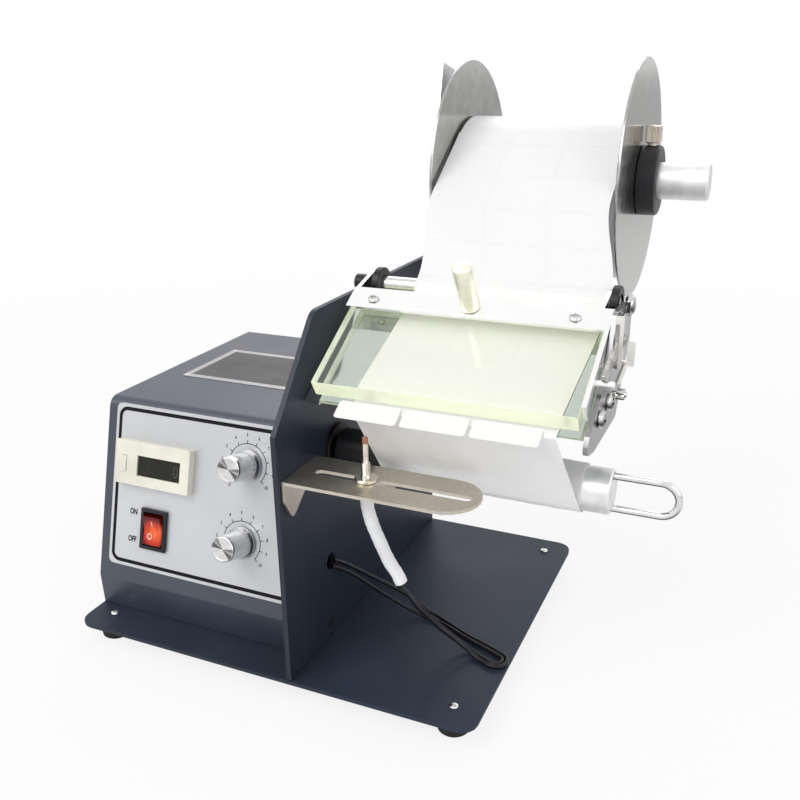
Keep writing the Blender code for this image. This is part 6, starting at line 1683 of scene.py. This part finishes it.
@dataclass
class RollStand(SubAssembly):
    """Arm, rod and the two discs that carry the roll, with the outer disc's hub and thumb screw."""

    rod: float = 0.0095
    rod_head: float = 0.0075
    rod_head_length: float = 0.0045
    rod_neck: float = 0.0040
    shoulder: float = 0.0026
    bore: float = 0.0098
    disc: float = 0.0013
    rim: float = 0.0003
    short_hub: float = 0.0150
    hub: float = 0.0180
    grips: int = 30
    grip_depth: float = 0.00045
    thumb_height: float = 0.0098
    thumb_neck: float = 0.0009

    def build(self) -> None:
        """Make everything on the rod's axis."""
        shop = self.shop
        shop.dress("roll_arm", Finishes.UPRIGHT_STEEL, 0.0003)
        self.place = shop.places.along_x(0.0, *ROD_AXIS)
        self.reel_rod()
        self.inner_disc()
        self.outer_disc()
        for name in ("low", "high"):
            node = f"arm_screw_{name}"
            shop.side_screw(f"arm_pan_screw_{name}", node, "roll_arm", 0.0020, Finishes.BRIGHT_STEEL)

    def turned(
        self, name: str, node: str, profile: list[Pair], sides: int, finish: Finish, body: str
    ) -> None:
        """Add a ring on the rod's axis."""
        self.shop.add(name, lathe(profile, sides, ring=True), finish, body, self.place, [node])

    def reel_rod(self) -> None:
        """The aluminium rod, with its shouldered end in the arm and a flat head behind it."""
        _, low, high = self.shop.barrel("reel_rod", self.place)
        head, neck, shoulder, rod = self.rod_head, self.rod_neck, self.shoulder, self.rod
        head_end = low + self.rod_head_length
        profile = [
            (0.0, low), (head - 0.0004, low), (head, low + 0.0004), (head, head_end), (neck, head_end),
            (neck, shoulder), (rod - 0.0004, shoulder), (rod, shoulder + 0.0004), (rod, high - 0.0009),
            (rod - 0.0009, high), (0.0014, high), (0.0, high - 0.0012),
        ]
        shape = lathe(profile, 96)
        self.shop.add("roll_rod", shape, Finishes.ROD_ALUMINIUM, "root", self.place, ["reel_rod"])

    def inner_disc(self) -> None:
        """The disc by the arm, with its short hub."""
        outer, low, high = self.shop.barrel("inner_disc", self.place)
        hub, face = self.short_hub, high - self.disc
        profile = [(self.bore, low), (hub - 0.0003, low), (hub, low + 0.0003)]
        profile += drum(hub, outer, face, high, self.rim)[:-1] + [(self.bore, high)]
        self.turned("arm_disc", "inner_disc", profile, 192, Finishes.DISC_STEEL, "root")

    def outer_disc(self) -> None:
        """The sliding disc, its black hub and the knurled thumb screw."""
        outer, low, high = self.shop.barrel("outer_disc", self.place)
        profile = drum(self.bore, outer, low, high, self.rim)
        self.turned("sliding_disc", "outer_disc", profile, 192, Finishes.DISC_STEEL, "disc_slider")
        _, low, high = self.shop.barrel("disc_hub", self.place)
        bore, hub = self.bore, self.hub
        profile = [
            (bore, low), (hub - 0.0002, low), (hub, low + 0.0002), (hub, high - 0.0011),
            (hub - 0.0003, high - 0.0004), (hub - 0.0010, high), (bore + 0.0004, high),
            (bore, high - 0.0004),
        ]
        self.turned("slider_hub", "disc_hub", profile, 112, Finishes.BLACK, "disc_slider")
        self.thumb_screw((low + high) / 2)

    def thumb_screw(self, x: float) -> None:
        """The knurled screw in the top of the hub.

        Args:
            x: Where it stands along the rod.
        """
        place = self.shop.places.upright(x, *ROD_AXIS)
        low, high = self.shop.extent("thumb_screw", place)
        head, top = (high.x - low.x) / 2, high.z
        seat = top - self.thumb_height
        neck = seat + self.thumb_neck
        shank = [(0.0, low.z), (0.0022, low.z), (0.0022, seat), (0.0030, seat), (0.0030, neck), (0.0, neck)]
        profile = [
            (0.0, neck), (head - 0.0006, neck), (head - 0.0003, neck + 0.0004),
            (head - 0.0003, top - 0.0006), (head - 0.0009, top - 0.0001), (0.0022, top),
            (0.0019, top - 0.0003), (0.0, top - 0.0003),
        ]
        knurl = prism(knurled(head, head - self.grip_depth, self.grips), neck + 0.0006, top - 0.0008)
        shape = merged([lathe(shank, 32), lathe(profile, 64), knurl])
        self.shop.add("knurled_screw", shape, Finishes.NICKEL_TURNED, "hub_screw", place, ["thumb_screw"])


@dataclass
class EndBracket(SubAssembly):
    """Right-hand bracket with the guide rod, its nut and collars, and the hold-down latch."""

    tail: float = 0.0014
    black_end: float = 0.0100
    hex_height: float = 0.0016
    nut_drop: float = 0.0034
    thread: float = 0.0030
    collar_edge: float = 0.0004
    grub: float = 0.0009
    grub_depth: float = 0.0022
    latch_gap: float = 0.0002
    latch_sheet: float = 0.0009
    latch_front: float = 0.0616
    link_front: float = 0.0612
    bolt_at: Triple = (0.0024, 0.0606, 0.1416)
    bolt_shank: float = 0.0030

    def build(self) -> None:
        """Dress the bracket and the latch and make the rod's pieces."""
        shop = self.shop
        shop.dress("end_bracket", Finishes.BRACKET_STEEL, 0.0003)
        shop.dress("latch_lever", Finishes.LATCH_STEEL, 0.00025)
        pivot = shop.places.pivot()
        self.place = shop.places.along_x(0.0, pivot.y, pivot.z)
        self.guide_rod()
        self.nut()
        self.collar("left", "left_guide")
        self.collar("right", "root")
        for name in ("front", "rear"):
            node = f"bracket_screw_{name}"
            shop.side_screw(f"bracket_dome_screw_{name}", node, "end_bracket", 0.0015, Finishes.CHROME)
        self.latch_gear()

    def latch_gear(self) -> None:
        """The latch's bent front edge, spring plate, link and knurled bolt."""
        shop = self.shop
        place = shop.places.station()
        root = shop.extent("end_bracket", place)[1].x + self.latch_gap
        front = Matrix.Translation((0.0, self.latch_front, 0.0)) @ Matrix.Rotation(QUARTER, 4, "X")
        edge = rectangle((root, 0.1560), (root + 0.0034, 0.1748), 0.0006)
        plate = rectangle((root + 0.0054, 0.1541), (root + 0.0086, 0.1646), 0.0007)
        sheets = merged(moved(prism(outline, 0.0, self.latch_sheet), front) for outline in (edge, plate))
        shop.add("latch_edge", sheets, Finishes.GEAR_STEEL, "latch", place)
        y = self.link_front
        web = tube([(root + 0.0030, y, 0.1560), (root + 0.0070, y, 0.1556)], 0.0006, 12)
        link = tube([(root + 0.0052, y, 0.1552), (root + 0.0024, y, 0.1462)], 0.0012, 16)
        shop.add("latch_link", merged([web, link]), Finishes.GEAR_STEEL, "latch", place)
        bolt = merged([
            prism(knurled(0.0021, 0.0024, 14), 0.0, 0.0034),
            lathe([(0.0, 0.0034), (0.0015, 0.0034), (0.0011, 0.0041), (0.0, 0.0042)], 24),
            lathe([(0.0, -self.bolt_shank), (0.0012, -self.bolt_shank), (0.0012, 0.0), (0.0, 0.0)], 24),
        ])
        x, y, z = self.bolt_at
        shop.add("latch_bolt", bolt, Finishes.CHROME, "root", shop.places.along_x(root + x, y, z))

    def guide_rod(self) -> None:
        """The bright rod that the paper runs over."""
        _, low, high = self.shop.barrel("guide_rod", self.place)
        start, end, rod = low + self.tail, high - self.nut_drop, GUIDE_RADIUS
        profile = [
            (0.0, start), (rod - 0.0004, start), (rod, start + 0.0004), (rod, self.black_end),
            (rod, high - 0.0022 - self.nut_drop), (self.thread, high - 0.0021 - self.nut_drop),
            (self.thread, end), (0.0, end),
        ]
        # The rod's left end is painted black as shade.
        self.shop.add(
            "paper_guide_rod", lathe(profile, 64), Finishes.BRIGHT_STEEL, "root", self.place, ["guide_rod"],
            extra=blackened(self.black_end)
        )

    def nut(self) -> None:
        """The domed nut on the rod's end."""
        radius, low, high = self.shop.barrel("guide_rod_nut", self.place)
        waist = low + self.hex_height
        reach = high - self.nut_drop - waist
        flats = prism(arc((0.0, 0.0), radius, 0.0, 5 * math.pi / 3, 5), low, waist)
        dome = [(0.0, low + 0.0005), (radius * 0.86, waist - 0.0003)]
        for turn in (QUARTER * step / 8 for step in range(9)):
            dome.append((radius * 0.84 * math.cos(turn), waist + reach * math.sin(turn)))
        shape = merged([flats, lathe(dome, 48)])
        self.shop.add("domed_nut", shape, Finishes.CHROME, "root", self.place, ["guide_rod_nut"], 0.0002)

    def collar(self, side: str, body: str) -> None:
        """One black collar with a sunk grub screw.

        Args:
            side: Which collar it is.
            body: The body that it rides on.
        """
        shop = self.shop
        outer, low, high = shop.barrel(f"{side}_collar", self.place)
        profile = drum(GUIDE_RADIUS + 0.0003, outer, low, high, self.collar_edge)
        spot = Matrix.Translation((0.0, -outer + self.grub_depth, (low + high) / 2))
        hole = prism(circle((0.0, 0.0), self.grub, 20), 0.0, 0.004)
        aim = spot @ Matrix.Rotation(QUARTER, 4, "X")
        shape = shop.carve(lathe(profile, 72, ring=True), [moved(hole, aim)])
        shop.add(f"{side}_guide_collar", shape, Finishes.BLACK, body, self.place, [f"{side}_collar"])


@dataclass
class Cover(SubAssembly):
    """Peel table and the hinged cover: steel sheet, clear block, handle and screws."""

    block_edge: float = 0.0005
    handle: float = 0.0044
    shank: float = 0.0013
    head_height: float = 0.0014

    def build(self) -> None:
        """Dress the sheets and make the block, the handle and the screws."""
        shop = self.shop
        self.place = shop.places.table()
        shop.dress("peel_table", Finishes.SHEET_STEEL, 0.0003)
        shop.dress("cover_sheet", Finishes.COVER_STEEL, 0.0003)
        low, high = shop.extent("clear_block", self.place)
        middle = self.place @ Matrix.Translation((low + high) / 2)
        half = (high - low) / 2
        block = prism(centred(half.x, half.y), -half.z, half.z)
        sides = (Finishes.ACRYLIC_EDGE, lambda face: abs(face.normal.z) < 0.5)
        shop.add(
            "acrylic_block", block, Finishes.ACRYLIC, "cover", middle, ["clear_block"], self.block_edge,
            sides
        )
        self.lift_handle()
        self.screw("left")
        self.screw("right")

    def lift_handle(self) -> None:
        """The turned handle that the cover is lifted by."""
        low, high = self.shop.extent("lift_handle", self.place)
        middle = (low + high) / 2
        place = self.place @ Matrix.Translation((middle.x, middle.y, low.z))
        height, radius = high.z - low.z, self.handle
        profile = [
            (0.0, 0.0), (radius - 0.0003, 0.0), (radius, 0.0003), (radius, height - 0.0008),
            (radius - 0.0003, height - 0.0003), (radius - 0.0009, height), (0.0, height),
        ]
        self.shop.add(
            "cover_handle", lathe(profile, 72), Finishes.HANDLE_STEEL, "cover", place, ["lift_handle"]
        )

    def screw(self, side: str) -> None:
        """One screw through the sheet into the clear block.

        Args:
            side: Which end of the cover it is at.
        """
        shop = self.shop
        node = f"cover_screw_{side}"
        low, high = shop.extent(node, self.place)
        middle = (low + high) / 2
        seat = shop.extent("cover_sheet", self.place)[1].z + SEAT_GAP
        seat = max(seat if seat < high.z else 0.0, high.z - self.head_height)
        place = self.place @ Matrix.Translation((middle.x, middle.y, seat))
        shape = shop.screw((high.x - low.x) / 2, high.z - seat, self.shank, seat - low.z)
        shop.add(f"cover_pan_screw_{side}", shape, Finishes.BRIGHT_STEEL, "cover", place, [node])


@dataclass
class PaperRun(SubAssembly):
    """Label paper from the roll over the guide rod and table, round the peel edge and down to the shaft."""

    width: float = 0.0910
    backing: float = 0.00016
    label: float = 0.00009
    lift: float = 0.00040
    crease: float = 0.0012
    columns: int = 3
    column_gap: float = 0.0018
    row_gap: float = 0.0013
    row_pitch: float = 0.0237
    row_start: float = 0.0114
    disc_clear: float = 0.0480
    roll_radius: float = 0.0422
    shaft_radius: float = 0.0112
    roll_left: float = 0.0179
    guide_left: float = 0.0300
    peel_left: float = 0.0240
    shaft_left: float = 0.0306
    dip_up: float = 0.0585
    nose: float = 0.0007
    across: int = 26

    def build(self) -> None:
        """Make the backing, the labels on it and the row that has run out."""
        shop = self.shop
        self.place = shop.places.station()
        self.path = self.route()
        sheet = self.ribbon((0.0, self.path[-1][0]), (0.0, self.width), (0.0, self.backing), self.crease)
        shop.add("paper_web", sheet, Finishes.LINER, "root", self.place, ["label_paper"])
        shop.add("web_labels", merged(self.web_labels()), Finishes.LABELS, "root", self.place)
        self.front_row()

    def tangent(self, centre: Pair, radius: float, outside: Vector, side: int) -> Vector:
        """Where the line from an outside point touches a circle.

        Args:
            centre: The circle's centre.
            radius: Its radius.
            outside: The outside point.
            side: 1 for the left of the run, -1 for its right.

        Returns:
            The touching point.
        """
        reach = Vector(centre) - outside
        turn = math.atan2(reach.y, reach.x) + side * math.asin(radius / reach.length)
        length = math.sqrt(reach.length ** 2 - radius ** 2)
        return outside + Vector((math.cos(turn), math.sin(turn))) * length

    def on_table(self, up: float, off: float) -> Vector:
        """A place on the table in the station's (y, z)."""
        return (self.place.inverted() @ self.shop.places.table() @ Vector((0.0, up, off))).yz

    def route(self) -> list[tuple[float, Vector, float]]:
        """The paper's middle line: how far along, (y, z) and the left edge's x.

        Returns:
            The route's points.
        """
        guide = tuple(self.shop.places.pivot().yz)
        radius = GUIDE_RADIUS + self.lift
        slope = self.on_table(1.0, 0.0) - self.on_table(0.0, 0.0)
        over = Vector(guide) + Vector((-slope.y, slope.x)) * radius
        start = self.tangent(ROLL_AXIS, self.roll_radius + self.lift, over, 1)
        first = self.tangent(guide, radius, start, -1)
        last = self.tangent(guide, radius, self.on_table(self.dip_up, self.lift), 1)
        begin = math.atan2(first.y - guide[1], first.x - guide[0])
        finish = math.atan2(last.y - guide[1], last.x - guide[0])
        run = (first - start).length
        spots = []
        for along in sorted({self.disc_clear, *(run * step / 24 for step in range(24))}):
            share = max(along - self.disc_clear, 0.0) / (run - self.disc_clear)
            share = share * share * (3.0 - 2.0 * share)
            left = self.roll_left + (self.guide_left - self.roll_left) * share
            spots.append((start.lerp(first, along / run), left))
        spots += [(Vector(point), self.guide_left) for point in arc(guide, radius, begin, finish, 10)]
        for step in range(12):
            left = self.guide_left + (self.peel_left - self.guide_left) * step / 12
            spots.append((self.on_table(self.dip_up * (1 - step / 12), self.lift), left))
        top = self.on_table(0.0, self.lift)
        bend = top + Vector((0.0, -self.nose))
        low = self.tangent(SHAFT_AXIS, self.shaft_radius + self.lift, bend + Vector((0.0, -self.nose)), -1)
        heading = math.atan2(slope.x, -slope.y)
        away = math.atan2(low.y - bend.y, low.x - bend.x) + 3 * QUARTER
        spots += [(Vector(point), self.peel_left) for point in arc(tuple(bend), self.nose, heading, away, 10)]
        leave = spots[-1][0]
        for step in range(1, 17):
            left = self.peel_left + (self.shaft_left - self.peel_left) * step / 16
            spots.append((leave.lerp(low, step / 16), left))
        path = [(0.0, *spots[0])]
        for (before, _), (spot, left) in zip(spots, spots[1:]):
            path.append((path[-1][0] + (spot - before).length, spot, left))
        self.table_end = next(at for at, spot, _ in path if (spot - top).length < 0.002)
        self.nose_end = next(at for at, spot, _ in path if spot == leave)
        return path

    def at(self, along: float) -> tuple[Vector, Vector, float]:
        """The route's point, outward normal and left edge at a distance along it."""
        index = 0
        while index < len(self.path) - 2 and self.path[index + 1][0] <= along:
            index += 1
        (a, here, left), (b, there, right) = self.path[index:index + 2]
        share = min(max((along - a) / (b - a), 0.0), 1.0)
        run = (there - here).normalized()
        if share < 0.02 and index:
            run = (run + (here - self.path[index - 1][1]).normalized()).normalized()
        return here.lerp(there, share), Vector((run.y, -run.x)), left + (right - left) * share

    def ribbon(self, reach: Pair, sides: Pair, heights: Pair, crease: float = 0.0) -> Mesh:
        """A piece of the paper between two distances along the route.

        Args:
            reach: Where it starts and ends.
            sides: Its left and right edge from the paper's left edge.
            heights: Its lower and upper face above the backing's underside.
            crease: How far the free stretch below the table may wave.

        Returns:
            The ribbon.
        """
        left, right = sides
        columns = max(1, round(self.across * (right - left) / self.width))
        steps = [left + (right - left) * column / columns for column in range(columns + 1)]
        shape = bmesh.new()
        rings = []
        for along in sorted({*reach, *(at for at, _, _ in self.path if reach[0] < at < reach[1])}):
            spot, normal, edge = self.at(along)
            free = 0.0
            if crease and along > self.nose_end:
                share = (along - self.nose_end) / (self.path[-1][0] - self.nose_end)
                free = crease * math.sin(math.pi * min(share, 1.0)) ** 2
            rows = []
            for height in heights:
                row = []
                for x in steps:
                    ripple = math.sin(x * 190 + along * 60) + 0.6 * math.sin(x * 420 - along * 150)
                    wave = free * 0.25 * ripple
                    out = spot + normal * (height + wave)
                    row.append(shape.verts.new((edge + x, out.x, out.y)))
                rows.append(row)
            rings.append(rows[0] + rows[1][::-1])
        skin(shape, rings)
        for cap in (rings[0], rings[-1]):
            for column in range(columns):
                shape.faces.new((cap[column], cap[column + 1], cap[-2 - column], cap[-1 - column]))
        bmesh.ops.recalc_face_normals(shape, faces=shape.faces)
        return shape

    def web_labels(self) -> list[Mesh]:
        """The rows of labels still on the backing, from the peel edge back up to the roll."""
        labels = []
        width = (self.width - self.column_gap * (self.columns + 1)) / self.columns
        heights = (self.backing + 0.00001, self.backing + self.label)
        last = self.table_end - 0.0030
        start = self.row_start - self.row_pitch
        while start < last - 0.0010:
            reach = (max(start, 0.0005), min(start + self.row_pitch - self.row_gap, last))
            for column in range(self.columns):
                left = self.column_gap + column * (width + self.column_gap)
                labels.append(self.ribbon(reach, (left, left + width), heights))
            start += self.row_pitch
        return labels

    def front_row(self) -> None:
        """The three labels that have run out over the peel edge."""
        place = self.shop.places.table()
        low, high = self.shop.extent("front_labels", place)
        width = (high.x - low.x - (self.columns - 1) * self.column_gap) / self.columns
        labels = []
        for column in range(self.columns):
            left = low.x + column * (width + self.column_gap)
            outline = rectangle((left, low.y), (left + width, high.y), 0.0015)
            labels.append(prism(outline, high.z - 0.00025, high.z))
        self.shop.add("label_row", merged(labels), Finishes.LABELS, "root", place, ["front_labels"])


@dataclass
class Sensor(SubAssembly):
    """Label sensor in its slotted bracket."""

    spot: Triple = (0.0340, 0.0180, 0.0)
    sheet: float = 0.0015
    barrel: float = 0.0020
    flange: float = 0.0038
    tip: float = 0.0013
    pitch: float = 0.0005
    resin: float = 0.0029

    def build(self) -> None:
        """Dress the bracket and make the sensor's turned body."""
        shop = self.shop
        shop.dress("sensor_bracket", Finishes.NICKEL_PLATE, 0.00035)
        place = shop.places.upright(*self.spot)
        low, high = shop.extent("sensor_barrel", place)
        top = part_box("sensor_bracket")[1].z - place.translation.z
        under, barrel, tip, end = top - self.sheet, self.barrel, self.tip, high.z
        nut = (high.x - low.x) / 2
        profile = [
            (0.0, low.z), (barrel, low.z), (barrel, under - 0.0031), (self.flange, under - 0.0031),
            (self.flange, under - 0.0001), (barrel, under - 0.0001), (barrel, top + 0.0001),
            (nut - 0.0003, top + 0.0001), (nut, top + 0.0004), (nut, top + 0.0013),
            (nut - 0.0004, top + 0.0017), (barrel + 0.0004, top + 0.0017),
            (barrel + 0.0001, top + 0.0027),
        ]
        rise, shoulder = top + 0.0029, top + 0.0085
        while rise + self.pitch < shoulder:
            profile += [(barrel, rise), (barrel - 0.0002, rise + self.pitch / 2)]
            rise += self.pitch
        profile += [
            (barrel, shoulder - 0.0002), (barrel - 0.0002, shoulder), (tip + 0.0002, shoulder),
            (tip, shoulder + 0.0003), (tip, end - 0.0030), (tip, end - 0.0003), (tip - 0.0003, end),
            (0.0, end),
        ]
        resin = (Finishes.TIP_RESIN, lambda face: face.calc_center_median().z > end - self.resin)
        shape = lathe(profile, 56)
        shop.add(
            "sensor_body", shape, Finishes.NICKEL_TURNED, "sensor", place, ["sensor_barrel"], extra=resin
        )


@dataclass
class Studio:
    """Plain pale floor, white surroundings and soft lamps."""

    floor_size: float = 60.0
    floor_lift: float = 0.84
    floor_colour: Triple = (0.93, 0.93, 0.93)
    ambient: float = 0.55
    aim: Triple = (0.0, -0.04, 0.12)

    def build(self) -> None:
        """Make the floor, the surroundings and the lamps, and set the view."""
        for name in ("Cube", "Light", "Camera"):
            spare = bpy.data.objects.get(name)
            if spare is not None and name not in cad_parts:
                bpy.data.objects.remove(spare, do_unlink=True)
        bpy.context.scene.view_settings.view_transform = "Standard"
        self.floor()
        self.world()
        self.lamp("key", (-0.55, -1.05, 1.25), (1.1, 0.9), 11.0)
        self.lamp("fill", (1.25, -0.60, 0.75), (1.2, 1.0), 4.0)
        self.lamp("back", (-0.20, 1.10, 1.10), (1.4, 0.8), 5.0)

    def floor(self) -> None:
        """The pale floor, which takes the soft shadow."""
        shape = prism(centred(self.floor_size / 2, self.floor_size / 2), -0.01, 0.0)
        mesh = bpy.data.meshes.new("floor")
        shape.to_mesh(mesh)
        shape.free()
        material = bpy.data.materials.new("floor_paint")
        material.use_nodes = True
        bench = NodeBench(material.node_tree)
        glow = bench.node("Emission", None, {"Color": WHITE, "Strength": 1.0})
        lift = bench.ray("Camera") * bench.radius().spread(0.3, 1.3, self.floor_lift, 1.0)
        mixed = bench.node("MixShader", None, {0: lift, 1: bench.surface(self.floor_colour, 0.9), 2: glow})
        bench.put("OutputMaterial", None, {"Surface": mixed})
        mesh.materials.append(material)
        placed("floor", mesh)

    def world(self) -> None:
        """White where it is seen, in metal and through glass, and softer where it lights."""
        world = bpy.data.worlds.new("studio")
        bpy.context.scene.world = world
        world.use_nodes = True
        bench = NodeBench(world.node_tree)
        seen = bench.math("MAXIMUM", bench.ray("Camera"), bench.ray("Glossy"))
        seen = bench.math("MAXIMUM", seen, bench.ray("Transmission"))
        white = bench.node("Background", None, {"Color": WHITE, "Strength": 1.0})
        soft = bench.node("Background", None, {"Color": WHITE, "Strength": self.ambient})
        mixed = bench.node("MixShader", None, {0: seen, 1: soft, 2: white})
        bench.put("OutputWorld", None, {"Surface": mixed})

    def lamp(self, name: str, place: Triple, size: Pair, power: float) -> None:
        """One soft area lamp that points at the machine.

        Args:
            name: The lamp's name.
            place: Where it stands.
            size: Its width and height.
            power: Its power in watts.
        """
        data = bpy.data.lights.new(name, "AREA")
        data.shape = "RECTANGLE"
        data.size, data.size_y = size
        data.energy = power
        item = placed(name, data)
        item.location = place
        item.rotation_euler = (Vector(place) - Vector(self.aim)).to_track_quat("Z", "Y").to_euler()


def main() -> None:
    """Build the scene."""
    logging.basicConfig(level=logging.INFO, format="%(message)s")
    workshop = Workshop(Places())
    Camera().build()
    Cords(workshop).build()
    Studio().build()
    for part in (
        Footing, ControlCase, FrontPanel, TakeUp, LabelRoll, RollStand, EndBracket, Cover, PaperRun, Sensor
    ):
        part(workshop).build()


if __name__ == "__main__":
    main()
